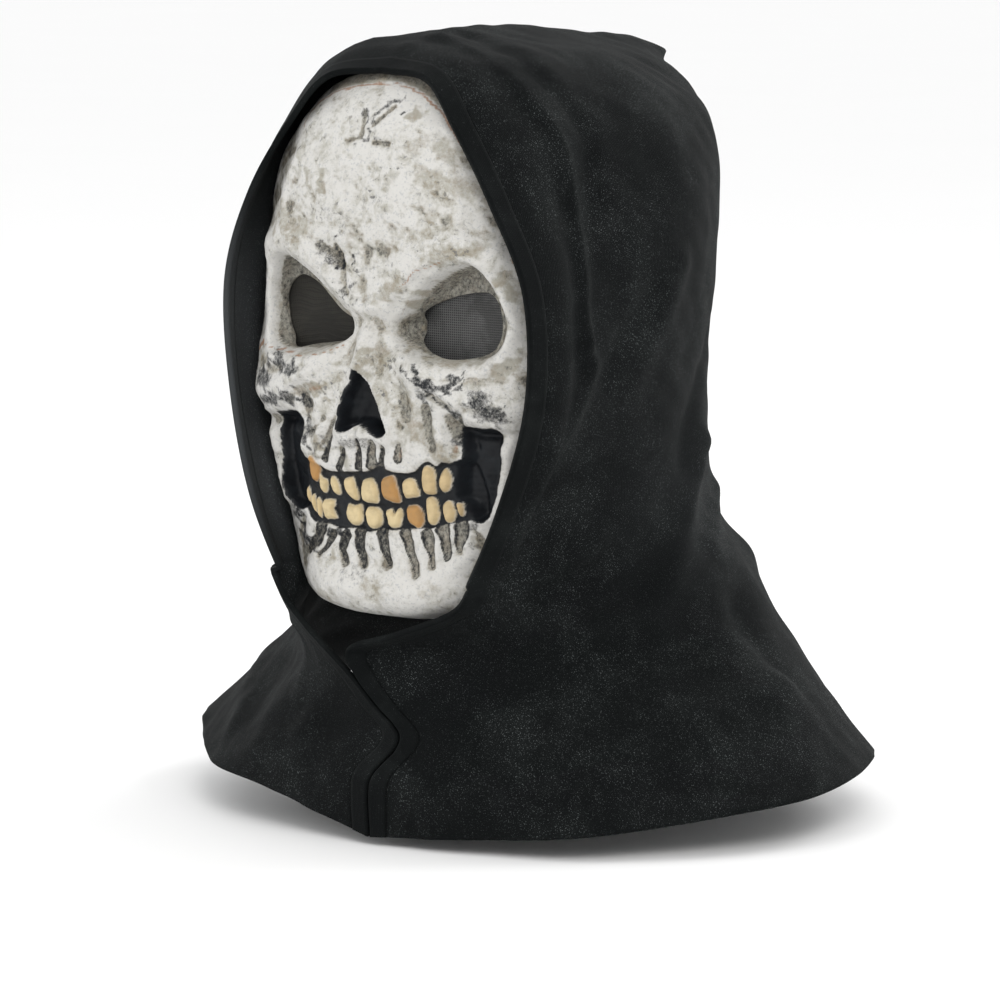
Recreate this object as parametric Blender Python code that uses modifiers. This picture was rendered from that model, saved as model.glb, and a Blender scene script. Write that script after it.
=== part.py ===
"""A hooded skull mask: a moulded face shell with two woven eye screens, carried in a knitted hood
that falls to a short cape, with a sewn hem round the face and down both front edges.

Metres, +Z up. The wearer looks along -Y and +X is the wearer's left. The origin is the place inside
the crown where the top of the head bears, so the head, the neck and the shoulders are below it.
"""

from collections import namedtuple
from math import pi

import bmesh
import bpy
import numpy as np

MM = 0.001

# Walls and clearances, in millimetres
SHELL_THICKNESS = 2.2
CLOTH_THICKNESS = 1.3
HEM_THICKNESS = 2.6
RIM_HEM_WIDTH = 9.0
SEAM_GAP = 0.8
SHELL_TO_CLOTH = 0.9
SCREEN_THICKNESS = 1.0
SCREEN_OVERLAP = 3.5
SCREEN_GAP = 0.35
EYE_CUT_DEPTH = 90.0
WELD_DISTANCE = 0.001

# Hollows of the face: where the sockets' floor lies, depths, and the width of each one's slope
SOCKET_FLOOR_Y = -84.0
SOCKET_SLOPE = 9.0
NOSE_DEPTH = 14.0
NOSE_SLOPE = 4.5
CHEEK_HOLLOW_DEPTH = 9.0
CHEEK_SLOPE = 5.5

# The teeth meet on a line that rises with the square of the distance from the middle
BITE_LINE_Z = -203.0
BITE_LINE_RISE = 0.0035

# Share of the way from the middle of the shell to its edge where its wall starts to turn, and over
# how much of the way it turns
EDGE_ZONE_START = 0.75
EDGE_ZONE_WIDTH = 0.2

# The face shell, a row from its edge under the chin up to its edge over the forehead. mid is where
# the row crosses the centre line, side is where it ends on the shell's rear edge, and square says
# how flat its front is: 2 is an ellipse.
FaceRow = namedtuple("FaceRow", "mid_y mid_z side_x side_y side_z square")
FACE_ROWS = (
    FaceRow(-82, -257, 42, -76, -252, 2.2),
    FaceRow(-95, -253, 48, -75, -246, 2.2),
    FaceRow(-100, -241, 55, -73, -235, 2.1),
    FaceRow(-99, -222, 61, -71, -220, 2.0),
    FaceRow(-101, -203, 66, -69, -203, 2.0),
    FaceRow(-105, -184, 71, -66, -186, 2.0),
    FaceRow(-107, -164, 77, -64, -166, 2.1),
    FaceRow(-105, -142, 82, -62, -146, 2.4),
    FaceRow(-99, -122, 81, -60, -127, 2.5),
    FaceRow(-104, -104, 78, -58, -110, 2.5),
    FaceRow(-108, -80, 77, -57, -90, 2.4),
    FaceRow(-107, -52, 75, -56, -70, 2.3),
    FaceRow(-101, -32, 69, -58, -54, 2.2),
    FaceRow(-89, -20, 58, -62, -42, 2.1),
)
MOUTH_ROW = 4
OUTER_COLUMNS = (0.72, 0.79, 0.855, 0.91, 0.955, 0.985)

# Outlines on the face as it is seen from the front, (x, z), for the wearer's left half
SOCKET_RIM = ((10, -122), (15.5, -117), (22, -110), (29, -103.5), (37, -98.5), (45, -95), (51, -94.5), (56, -99),
              (60.5, -107), (63.5, -116), (64.5, -126), (61, -135), (52, -140), (40, -139.5), (26, -138),
              (16, -134), (10, -129))
EYE_HOLE = ((12, -125), (14.5, -118.5), (21, -114.2), (31, -111), (43, -109), (51, -109.3), (55.5, -113.5),
            (57.5, -121), (56.5, -129), (51, -135.5), (41, -138), (28, -136.5), (18, -133), (13, -129.5))
NOSE_HOLLOW = ((0, -143), (4, -147), (8, -153), (12, -160), (14.3, -168), (12.5, -171.5), (8, -171.5),
               (3, -169.5), (0, -168))
CHEEK_HOLLOW = ((42, -166), (50, -164.5), (60, -166), (61, -178), (59, -192), (56, -204), (50, -209), (43, -206),
                (40, -196), (41, -184), (44, -176))

# Raised and sunk lines: points (x, z) for the wearer's left half, half width and height
Line = namedtuple("Line", "name points width height")
LINES = (
    Line("brow", ((4, -116), (13, -107), (22, -98), (34, -91), (48, -88), (60, -92)), 7, 4.5),
    Line("nose bridge", ((0, -126), (0, -133), (0, -141)), 6, 8.0),
    Line("nose edge", ((2, -141), (8, -151), (13, -161), (16, -170), (12, -174.5), (0, -171.5)), 4, 3.0),
    Line("cheekbone", ((26, -144), (38, -148), (50, -154), (62, -157), (74, -158)), 8, 6.0),
    Line("cheek notch", ((44, -166), (58, -168), (70, -170)), 4, -3.0),
    Line("jaw branch", ((65, -172), (63, -188), (58, -204)), 5, 4.0),
    Line("temple", ((66, -82), (64, -62), (56, -42)), 9, -3.0),
    Line("chin boss", ((14, -242), (26, -239)), 12, 3.0),
    Line("chin groove", ((0, -228), (24, -228)), 6, -2.0),
)

# Teeth: centre x at the bite, width and height, upper row then lower row
Tooth = namedtuple("Tooth", "x width height")
UPPER_TEETH = (Tooth(-32, 5.5, 11), Tooth(-26.4, 4.8, 8), Tooth(-19.8, 5.5, 8), Tooth(-10.6, 7, 10),
               Tooth(-0.2, 8.8, 11), Tooth(10.9, 8, 11.5), Tooth(21.2, 7, 9), Tooth(30.3, 6.2, 12.5),
               Tooth(37.3, 5.4, 11))
LOWER_TEETH = (Tooth(-38, 4, 8), Tooth(-32.5, 4.5, 9), Tooth(-25, 8, 9), Tooth(-10, 8.8, 10.4),
               Tooth(0.9, 8.4, 12.4), Tooth(11.4, 8.2, 8.5), Tooth(21.6, 6.8, 10.3), Tooth(30, 5.2, 12),
               Tooth(37, 4.8, 9.1), Tooth(43.2, 4, 6.4))
TOOTH_RELIEF = 2.4
TOOTH_GAP_FROM_BITE = 1.2
GUM_HEIGHT = 15.0
GUM_DEPTH = 2.0

# The hood, a row from the bottom edge up to the seam over the crown, for the wearer's left half.
# rim is the edge round the face, fold is where the cloth is fixed to the shell's rear edge, side is
# its widest place, and seam is on the seam down the centre of the back. swell is how far the cloth
# stands out half way between the rim and the fold.
HoodRow = namedtuple(
    "HoodRow", "rim_x rim_y rim_z fold_x fold_y fold_z swell side_x side_y side_z seam_y seam_z"
)
HOOD_ROWS = (
    HoodRow(1.8, -103, -349, 108, -70, -341, 10, 162, 14, -330, 160, -322),
    HoodRow(1.8, -104, -327, 92, -72, -320, 9, 141, 16, -300, 142, -303),
    HoodRow(9.0, -102, -300, 74, -72, -296, 7, 118, 15, -268, 121, -267),
    HoodRow(29, -101, -276, 60, -72, -270, 6, 102, 11, -240, 105, -234),
    HoodRow(52, -101, -247, 56, -73, -242, 5, 91, 6, -220, 95, -211),
    HoodRow(71, -101, -204, 67, -69, -203, 5, 88, 4, -192, 90, -187),
    HoodRow(83.5, -98, -156, 82, -63, -158, 5, 89, 4, -150, 90, -151),
    HoodRow(80.5, -100, -108, 82, -59, -112, 5, 91, 5, -108, 96, -109),
    HoodRow(68, -103, -69, 77, -56, -77, 5, 91, 8, -68, 99, -69),
    HoodRow(48, -101, -36, 70, -54, -42, 5, 78, 10, -36, 105, -43),
    HoodRow(28, -97, -19, 46, -50, -12, 5, 46, 12, -12, 117, -30),
    HoodRow(0, -93, -15, 0, -49, 1.0, 5, 0, 14, 0, 131, -14),
)
FOLD_COLUMN = 2
SEAM_COLUMN = 5
FRONT_SHIFT_FALL = 1.7
ROUND_BACK = 0.72
RIGHT_HEM_LIFT = (11.0, 4.0, 0.0)
RIGHT_HEM_SPREAD = (7.0, 2.0, 0.0)

# Where the two front edges run below the chin, as they cross over in a loose double curl: the
# height, then how far across the wearer's right and left edges are.
Edge = namedtuple("Edge", "z right_x left_x")
FRONT_EDGES = (
    Edge(-349, -1.8, 1.8), Edge(-329, -1.8, 1.8), Edge(-322, -1, 7), Edge(-316, 2, 24),
    Edge(-309, 11, 33), Edge(-303, 13, 29), Edge(-298, 10, 17), Edge(-292, 1, 11),
    Edge(-280, -10, 11), Edge(-268, -26, 13), Edge(-259, -37, 26), Edge(-247, -52, 48), Edge(-235, -58, 57),
)

# How finely the sheets are divided between their rows and columns of control points
HEM_STEPS = 2
SEGMENTS_PER_ROW = (3, 6, 6, 4, 3, 3, 3, 3, 3, 3, 2)
SEGMENTS_PER_COLUMN = (1, 2, 3, 3, 2)

# Folds of the cloth: points (x, y, z) on the hood, half width and depth, valleys negative
Fold = namedtuple("Fold", "name points width height")
FOLDS = (
    Fold("crown puff", ((0, -66, 2), (34, -68, -6), (62, -72, -28)), 14, 4.0),
    Fold("left cowl valley", ((46, -90, -276), (76, -44, -282), (98, 14, -262), (92, 62, -226)), 11, -6.0),
    Fold("left cowl roll", ((56, -84, -262), (86, -30, -262), (99, 20, -240), (88, 60, -205)), 12, 5.0),
    Fold("right cowl valley", ((-46, -90, -276), (-76, -44, -284), (-98, 14, -264), (-92, 62, -226)), 11, -5.0),
    Fold("left shoulder valley", ((66, -80, -312), (104, -20, -310), (128, 30, -296)), 13, -5.0),
    Fold("right chest roll", ((-30, -104, -310), (-48, -106, -335), (-58, -98, -356)), 12, 5.0),
    Fold("back nape valley", ((0, 112, -250), (48, 104, -246), (78, 74, -240)), 14, -5.0),
)


def spline(points, samples):
    """Points of a smooth curve through control points, along the first axis, at the given places."""
    points = np.asarray(points, float)
    first = 2 * points[0] - points[1]
    last = 2 * points[-1] - points[-2]
    padded = np.concatenate([first[None], points, last[None]])
    at = np.clip(np.asarray(samples, float), 0, len(points) - 1)
    index = np.minimum(at.astype(int), len(points) - 2)
    t = (at - index).reshape((-1,) + (1,) * (points.ndim - 1))
    a, b, c, d = (padded[index + k] for k in range(4))
    return 0.5 * (2 * b + (c - a) * t + (2 * a - 5 * b + 4 * c - d) * t**2 + (3 * b - a - 3 * c + d) * t**3)


def smooth_step(value):
    """0 below 0, 1 above 1 and a smooth rise between."""
    t = np.clip(value, 0, 1)
    return t * t * (3 - 2 * t)


def distance_to_line(points, line):
    """Distance of each point from a chain of straight stretches."""
    line = np.asarray(line, float)
    nearest = np.full(len(points), np.inf)
    for start, end in zip(line[:-1], line[1:]):
        along = end - start
        share = np.clip((points - start) @ along / (along @ along), 0, 1)
        nearest = np.minimum(nearest, np.linalg.norm(points - start - share[:, None] * along, axis=1))
    return nearest


def closed_outline(corners, per_corner=5):
    """A smooth closed outline through its corners."""
    count = len(corners)
    ring = np.asarray(corners + corners[:1], float)
    around = np.concatenate([ring[-3:-1], ring, ring[1:3]])
    return spline(around, 2 + np.arange(count * per_corner) / per_corner)


def outline_distance(points, outline):
    """Distance of each (x, z) point from a closed outline, negative inside."""
    ring = np.concatenate([outline, outline[:1]])
    x, z = points[:, 0], points[:, 1]
    inside = np.zeros(len(points), bool)
    for (x0, z0), (x1, z1) in zip(ring[:-1], ring[1:]):
        crosses = (z0 > z) != (z1 > z)
        level = x0 + (z - z0) * (x1 - x0) / np.where(z1 == z0, 1e-9, z1 - z0)
        inside ^= crosses & (x < level)
    return np.where(inside, -1, 1) * distance_to_line(points, ring)


def bite_line(x):
    """Height of the line where the two rows of teeth meet."""
    return BITE_LINE_Z + BITE_LINE_RISE * x**2


def tooth_relief(x, z):
    """How far the teeth stand out of the gum."""
    relief = np.zeros(len(x))
    for teeth, side in ((UPPER_TEETH, 1), (LOWER_TEETH, -1)):
        for tooth in teeth:
            middle = bite_line(tooth.x) + side * (TOOTH_GAP_FROM_BITE + tooth.height / 2)
            across = np.abs(x - tooth.x) / (tooth.width / 2)
            up = np.abs(z - middle) / (tooth.height / 2)
            bump = np.clip(1.35 - across**2.4 - up**3, 0, 1)
            relief = np.maximum(relief, TOOTH_RELIEF * np.sqrt(bump))
    return relief


def face_relief(points):
    """The face's forms, pushed into a smooth face along Y."""
    x, z = points[:, 0], points[:, 2]
    half = np.column_stack([np.abs(x), z])
    forward = np.zeros(len(points))
    for line in LINES:
        away = distance_to_line(half, line.points) / line.width
        forward += line.height * np.exp(-(away**2))
    gum = smooth_step(1.4 - np.abs(z - bite_line(x)) / GUM_HEIGHT) * smooth_step((50 - np.abs(x)) / 8)
    forward += tooth_relief(x, z) - GUM_DEPTH * gum
    nose = np.array(NOSE_HOLLOW, float)
    forward -= NOSE_DEPTH * smooth_step(-outline_distance(half, nose) / NOSE_SLOPE)
    cheek = closed_outline(CHEEK_HOLLOW)
    forward -= CHEEK_HOLLOW_DEPTH * smooth_step(-outline_distance(half, cheek) / CHEEK_SLOPE)
    y = points[:, 1] - forward
    socket = smooth_step(-outline_distance(half, closed_outline(SOCKET_RIM)) / SOCKET_SLOPE)
    shaped = points.copy()
    shaped[:, 1] = y + socket * (SOCKET_FLOOR_Y - y)
    return shaped


def face_base(angles, levels):
    """The smooth face, before its forms: points[level, angle]."""
    sine, cosine = np.sin(angles), np.abs(np.cos(angles))
    rows = []
    for row in FACE_ROWS:
        out = np.sign(sine) * np.abs(sine) ** (2 / row.square)
        front = cosine ** (2 / row.square)
        rows.append(np.column_stack([
            row.side_x * out,
            row.side_y + (row.mid_y - row.side_y) * front,
            row.mid_z + (row.side_z - row.mid_z) * sine**2,
        ]))
    return spline(np.array(rows), levels)


def inward_directions(base):
    """Which way the shell's inner side lies: straight back behind the forms, and square to the
    smooth face close to the shell's edge."""
    square_in = np.cross(np.gradient(base, axis=0), np.gradient(base, axis=1))
    square_in /= np.linalg.norm(square_in, axis=2)[:, :, None]
    from_middle = np.abs(face_columns()) / (pi / 2)
    from_mouth = np.abs(2 * face_levels() / (len(FACE_ROWS) - 1) - 1)
    near_edge = np.maximum(from_middle[None, :], from_mouth[:, None])
    share = smooth_step((near_edge - EDGE_ZONE_START) / EDGE_ZONE_WIDTH)[:, :, None]
    inward = share * square_in + (1 - share) * np.array([0.0, 1.0, 0.0])
    return inward / np.linalg.norm(inward, axis=2)[:, :, None]


def face_columns():
    """Angles of the shell's columns, one on each upper tooth and one between each two."""
    mouth = FACE_ROWS[MOUTH_ROW]
    centres = np.array([tooth.x for tooth in UPPER_TEETH], float)
    between = (centres[1:] + centres[:-1]) / 2
    teeth = np.concatenate([centres, between, [UPPER_TEETH[0].x - 5, UPPER_TEETH[-1].x + 5]])
    places = np.concatenate([teeth / mouth.side_x, OUTER_COLUMNS, -np.array(OUTER_COLUMNS)])
    places = np.sort(places)
    angles = np.sign(places) * np.arcsin(np.abs(places) ** (mouth.square / 2))
    return np.concatenate([[-pi / 2], angles, [pi / 2]])


def face_levels():
    """Places of the shell's rows, closer together where the teeth and the sockets are."""
    per_row = (1, 2, 3, 5, 5, 3, 4, 4, 4, 4, 3, 2, 2)
    levels = [k + j / n for k, n in enumerate(per_row) for j in range(n)]
    return np.array(levels + [len(FACE_ROWS) - 1.0])


def half_net():
    """Control points of the hood's left half: net[row, column], from the rim to the back's seam."""
    rim = np.array([(row.rim_x, row.rim_y, row.rim_z) for row in HOOD_ROWS])
    fold = np.array([(row.fold_x, row.fold_y, row.fold_z) for row in HOOD_ROWS])
    side = np.array([(row.side_x, row.side_y, row.side_z) for row in HOOD_ROWS])
    seam = np.array([(0.0, row.seam_y, row.seam_z) for row in HOOD_ROWS])
    outward = np.cross(fold - rim, np.gradient(rim, axis=0))
    outward[-1, 0] = 0
    outward /= np.linalg.norm(outward, axis=1)[:, None]
    swell = np.array([[row.swell] for row in HOOD_ROWS])
    rear = (side + seam) / 2
    rear[:, 0] = side[:, 0] * ROUND_BACK
    rear[:, 1] = side[:, 1] + (seam[:, 1] - side[:, 1]) * ROUND_BACK
    columns = [rim, (rim + fold) / 2 + swell * outward, fold + SHELL_TO_CLOTH * outward, side, rear, seam]
    return np.stack(columns, axis=1)


def hood_net():
    """Control points of the whole hood: net[row, column], from the right rim round to the left."""
    left = half_net()
    right = left * (-1, 1, 1)
    for level, (lift, spread) in enumerate(zip(RIGHT_HEM_LIFT, RIGHT_HEM_SPREAD)):
        right[level, 1:-1, 2] += lift
        right[level, 1:-1, 0] -= spread
    return np.concatenate([right[:, :-1], left[:, ::-1]], axis=1)


def front_shift(rim, mirrored):
    """How far across each point of a front edge is moved, to lie where FRONT_EDGES says."""
    edges = spline(FRONT_EDGES, np.linspace(0, len(FRONT_EDGES) - 1, 200))
    target = np.interp(rim[:, 2], edges[:, 0], edges[:, 1] if mirrored else edges[:, 2])
    below_chin = rim[:, 2] < edges[-1, 0]
    return np.where(below_chin, target - rim[:, 0], 0)


def hood_points(columns, levels):
    """Points of the hood with its folds: points[level, column]. columns holds one row of places
    for every level, or one for each."""
    columns = np.broadcast_to(columns, (len(levels), np.shape(columns)[-1]))
    rows = spline(hood_net(), levels)
    grid = np.array([spline(row, places) for row, places in zip(rows, columns)])
    last = 2 * SEAM_COLUMN
    for from_rim, rim, mirrored in ((columns, rows[:, 0], True), (last - columns, rows[:, -1], False)):
        weight = smooth_step((FOLD_COLUMN - from_rim) / FRONT_SHIFT_FALL)
        grid[:, :, 0] += weight * front_shift(rim, mirrored)[:, None]
    normal = np.cross(np.gradient(grid, axis=1), np.gradient(grid, axis=0)).reshape(-1, 3)
    normal /= np.linalg.norm(normal, axis=1)[:, None] + 1e-9
    flat = grid.reshape(-1, 3)
    lift = np.zeros(len(flat))
    for fold in FOLDS:
        away = distance_to_line(flat, fold.points) / fold.width
        lift += fold.height * np.exp(-(away**2))
    rim_fade = smooth_step(np.minimum(columns, last - columns).reshape(-1) / FOLD_COLUMN)
    grid = (flat + normal * (lift * rim_fade)[:, None]).reshape(grid.shape)
    grid[-1, :, 0] = 0
    return grid


def hood_levels():
    """Places of the hood's rows, from the bottom edge to the crown."""
    levels = [k + j / n for k, n in enumerate(SEGMENTS_PER_ROW) for j in range(n)]
    return np.array(levels + [len(HOOD_ROWS) - 1.0])


def places_from_rim(length):
    """On each row of the hood, the column that lies this length round from its right rim."""
    columns = np.linspace(0, FOLD_COLUMN, 81)
    dense = hood_points(columns, hood_levels())
    steps = np.linalg.norm(np.diff(dense, axis=1), axis=2)
    lengths = np.concatenate([np.zeros((len(dense), 1)), steps.cumsum(axis=1)], axis=1)
    return np.array([np.interp(length, row, columns) for row in lengths])


def grid_mesh(name, points):
    """A mesh of one open sheet through points[row, column]."""
    rows, columns = points.shape[:2]
    bm = bmesh.new()
    bmesh.ops.create_grid(bm, x_segments=columns - 1, y_segments=rows - 1, size=1)
    bm.verts.ensure_lookup_table()
    for vertex, point in zip(bm.verts, points.reshape(-1, 3)):
        vertex.co = point * MM
    bmesh.ops.remove_doubles(bm, verts=bm.verts, dist=WELD_DISTANCE * MM)
    mesh = bpy.data.meshes.new(name)
    bm.to_mesh(mesh)
    bm.free()
    return mesh


def shell_mesh(name, outer, inner):
    """A closed mesh of a wall between two sheets of points[row, column] with the same layout."""
    bm = bmesh.new()
    for sheet in (outer, inner):
        rows, columns = sheet.shape[:2]
        grid = bmesh.ops.create_grid(bm, x_segments=columns - 1, y_segments=rows - 1, size=1)
        for vertex, point in zip(grid["verts"], sheet.reshape(-1, 3)):
            vertex.co = point * MM
    bmesh.ops.bridge_loops(bm, edges=[edge for edge in bm.edges if edge.is_boundary])
    bmesh.ops.recalc_face_normals(bm, faces=bm.faces)
    mesh = bpy.data.meshes.new(name)
    bm.to_mesh(mesh)
    bm.free()
    return mesh


def material(name, color, roughness):
    """A plain principled material."""
    made = bpy.data.materials.new(name)
    made.use_nodes = True
    shader = made.node_tree.nodes["Principled BSDF"]
    shader.inputs["Base Color"].default_value = (*color, 1)
    shader.inputs["Roughness"].default_value = roughness
    return made


def add_object(name, mesh, collection, made_of):
    """An object in a collection, with its material."""
    made = bpy.data.objects.new(name, mesh)
    collection.objects.link(made)
    if made_of:
        mesh.materials.clear()
        mesh.materials.append(made_of)
    mesh.shade_smooth()
    return made


def thicken(made, thickness, offset):
    """Give a sheet its thickness: offset 0 is to both sides, -1 is inward."""
    wall = made.modifiers.new("Wall", "SOLIDIFY")
    wall.thickness = thickness * MM
    wall.offset = offset
    wall.use_even_offset = False


def prism(name, outline, y_front, depth, collection, made_of=None):
    """A flat piece in the shape of an outline (x, z), standing across Y."""
    curve = bpy.data.curves.new(name + " outline", "CURVE")
    curve.dimensions = "2D"
    curve.fill_mode = "BOTH"
    curve.extrude = depth / 2 * MM
    ring = curve.splines.new("POLY")
    ring.points.add(len(outline) - 1)
    for point, (x, z) in zip(ring.points, outline):
        point.co = (x * MM, z * MM, 0, 1)
    ring.use_cyclic_u = True
    guide = bpy.data.objects.new(name + " outline", curve)
    collection.objects.link(guide)
    bpy.context.view_layer.update()
    shape = guide.evaluated_get(bpy.context.evaluated_depsgraph_get())
    mesh = bpy.data.meshes.new_from_object(shape)
    bpy.data.objects.remove(guide)
    bm = bmesh.new()
    bm.from_mesh(mesh)
    bmesh.ops.remove_doubles(bm, verts=bm.verts, dist=WELD_DISTANCE * MM)
    bmesh.ops.recalc_face_normals(bm, faces=bm.faces)
    bm.to_mesh(mesh)
    bm.free()
    mesh.name = name
    made = add_object(name, mesh, collection, made_of)
    made.rotation_euler = (pi / 2, 0, 0)
    made.location = (0, (y_front + depth / 2) * MM, 0)
    return made


def offset_outline(outline, distance):
    """A closed outline moved outward by a distance."""
    before, after = np.roll(outline, 1, axis=0), np.roll(outline, -1, axis=0)
    along = (after - before) / np.linalg.norm(after - before, axis=1)[:, None]
    outward = np.column_stack([along[:, 1], -along[:, 0]])
    area = np.sum(outline[:, 0] * after[:, 1] - after[:, 0] * outline[:, 1])
    return outline + outward * distance * np.sign(area)


def eye_outline(side):
    """The outline of one eye's hole."""
    return closed_outline(EYE_HOLE, per_corner=3) * (side, 1)


def add_face_shell(parts, cutters, bone):
    """The moulded face: a thin shell with its eye holes cut through."""
    base = face_base(face_columns(), face_levels())
    outer = face_relief(base.reshape(-1, 3)).reshape(base.shape)
    mesh = shell_mesh("face_shell", outer, outer + inward_directions(base) * SHELL_THICKNESS)
    shell = add_object("face_shell", mesh, parts, bone)
    for side, eye in ((-1, "right"), (1, "left")):
        cut_front = SOCKET_FLOOR_Y - EYE_CUT_DEPTH / 2
        hole = prism(f"{eye} eye hole", eye_outline(side), cut_front, EYE_CUT_DEPTH, cutters)
        hole.hide_render = True
        hole.display_type = "WIRE"
        cut = shell.modifiers.new(f"{eye} eye hole", "BOOLEAN")
        cut.operation = "DIFFERENCE"
        cut.object = hole


def add_eye_screens(parts, net):
    """The woven screens, flat behind the eye holes and wider than them all round."""
    front = SOCKET_FLOOR_Y + SHELL_THICKNESS + SCREEN_GAP
    for side, eye in ((-1, "right"), (1, "left")):
        outline = offset_outline(eye_outline(side), SCREEN_OVERLAP)
        prism(f"eye_screen_{eye}", outline, front, SCREEN_THICKNESS, parts, net)


def add_hood(parts, cloth):
    """The hood and its cape: one cloth from the rim's hem round to the seam at the back."""
    starts = places_from_rim(RIM_HEM_WIDTH + SEAM_GAP)
    ends = np.arange(1, SEAM_COLUMN + 1.0)
    rows = []
    for start in starts:
        stops = np.concatenate([[start], ends])
        half = [a + (b - a) * j / n for a, b, n in zip(stops, stops[1:], SEGMENTS_PER_COLUMN) for j in range(n)]
        rows.append(half + [float(SEAM_COLUMN)] + [2 * SEAM_COLUMN - place for place in reversed(half)])
    points = hood_points(np.array(rows), hood_levels())
    hood = add_object("hood", grid_mesh("hood", points), parts, cloth)
    thicken(hood, CLOTH_THICKNESS, 0)


def add_opening_hem(parts, cloth):
    """The turned and sewn hem, up one side of the opening, over the brow and down the other."""
    shares = np.linspace(0, 1, HEM_STEPS + 1)
    right = hood_points(places_from_rim(RIM_HEM_WIDTH)[:, None] * shares, hood_levels())
    left = hood_points(2 * SEAM_COLUMN - places_from_rim(RIM_HEM_WIDTH)[:, None] * shares, hood_levels())
    points = np.concatenate([right, left[-2::-1]])
    hem = add_object("opening_hem", grid_mesh("opening_hem", points), parts, cloth)
    thicken(hem, HEM_THICKNESS, 0)


def main():
    """Build the mask."""
    for old in list(bpy.data.objects):
        bpy.data.objects.remove(old)
    parts = bpy.data.collections.new("hooded skull mask")
    cutters = bpy.data.collections.new("cutters")
    for collection in (parts, cutters):
        bpy.context.scene.collection.children.link(collection)
    bone = material("painted bone", (0.72, 0.70, 0.65), 0.55)
    net = material("black eye net", (0.02, 0.02, 0.02), 0.85)
    knit = material("black knit", (0.012, 0.013, 0.014), 0.9)
    add_face_shell(parts, cutters, bone)
    add_eye_screens(parts, net)
    add_hood(parts, knit)
    add_opening_hem(parts, knit)


if __name__ == "__main__":
    main()
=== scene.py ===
"""Dress the hooded skull mask: painted skull face, teeth, eye nets, knit hood and sewn hem."""

from __future__ import annotations

import logging
import math
from dataclasses import dataclass, field
from enum import Enum
from typing import Iterable, Sequence

import bpy
import numpy as np
from mathutils import Matrix, Vector

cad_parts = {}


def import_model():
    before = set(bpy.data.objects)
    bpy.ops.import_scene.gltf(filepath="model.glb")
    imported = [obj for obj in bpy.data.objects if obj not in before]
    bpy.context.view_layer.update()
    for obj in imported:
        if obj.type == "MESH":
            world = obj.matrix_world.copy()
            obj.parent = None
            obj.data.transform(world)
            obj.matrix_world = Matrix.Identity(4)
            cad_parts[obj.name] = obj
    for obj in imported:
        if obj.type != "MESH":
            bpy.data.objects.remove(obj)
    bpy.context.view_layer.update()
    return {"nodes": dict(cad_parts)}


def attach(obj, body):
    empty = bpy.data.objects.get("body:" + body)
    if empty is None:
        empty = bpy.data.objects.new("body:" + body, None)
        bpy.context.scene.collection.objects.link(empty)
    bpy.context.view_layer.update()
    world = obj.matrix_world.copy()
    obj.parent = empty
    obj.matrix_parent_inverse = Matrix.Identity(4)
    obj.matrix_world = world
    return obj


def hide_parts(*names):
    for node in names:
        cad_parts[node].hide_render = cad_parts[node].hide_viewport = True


LOG = logging.getLogger("hooded_skull_mask")
MM = 0.001
BODY = "root"
NOISE_WAVES = 9
Array = np.ndarray


class Side(Enum):
    """The wearer's sides, as the sign of X; both means mirrored."""

    RIGHT = -1
    BOTH = 0
    LEFT = 1


@dataclass(frozen=True)
class FaceRow:
    """One section of the face, from its middle to the shell's rear edge, in millimetres."""

    mid_y: float
    mid_z: float
    side_x: float
    side_y: float
    side_z: float
    square: float


@dataclass(frozen=True)
class Stroke:
    """A raised or sunk line of the face: its route (x, z), half width, height and sharpness."""

    name: str
    route: tuple[tuple[float, float], ...]
    width: float
    height: float
    power: float = 2.0
    side: Side = Side.BOTH


@dataclass(frozen=True)
class Patch:
    """A patch of paint on the face: its route (x, z), half width and strength."""

    name: str
    route: tuple[tuple[float, float], ...]
    width: float
    strength: float


@dataclass(frozen=True)
class Tooth:
    """One tooth: its outline (x, z) and the tone of its paint, from cream at 0 to amber at 1."""

    name: str
    outline: tuple[tuple[float, float], ...]
    tone: float


@dataclass(frozen=True)
class HoodRow:
    """One row of the hood's left half: rim, fold at the shell's edge, side and back seam."""

    rim: tuple[float, float, float]
    fold: tuple[float, float, float]
    swell: float
    side: tuple[float, float, float]
    seam: tuple[float, float]


@dataclass(frozen=True)
class Fold:
    """A fold of the cloth: its route over the hood, half width, height and sharpness."""

    name: str
    route: tuple[tuple[float, float, float], ...]
    width: float
    height: float
    power: float = 2.0


FACE_ROWS = (
    FaceRow(-82, -254.4, 42, -76, -250, 2.2),
    FaceRow(-95, -250.6, 48, -75, -245, 2.2),
    FaceRow(-100, -241, 55, -73, -235, 2.1),
    FaceRow(-99, -222, 61, -71, -220, 2.0),
    FaceRow(-101, -203, 66, -69, -203, 2.0),
    FaceRow(-105, -184, 71, -66, -186, 2.0),
    FaceRow(-107, -164, 77, -64, -166, 2.1),
    FaceRow(-105, -142, 82, -62, -146, 2.4),
    FaceRow(-99, -122, 81, -60, -127, 2.5),
    FaceRow(-104, -104, 78, -58, -110, 2.5),
    FaceRow(-108, -80, 77, -57, -90, 2.4),
    FaceRow(-107, -52, 75, -56, -70, 2.3),
    FaceRow(-101, -32, 69, -58, -54, 2.2),
    FaceRow(-86, -14.5, 57, -62, -38, 2.1),
)

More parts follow.
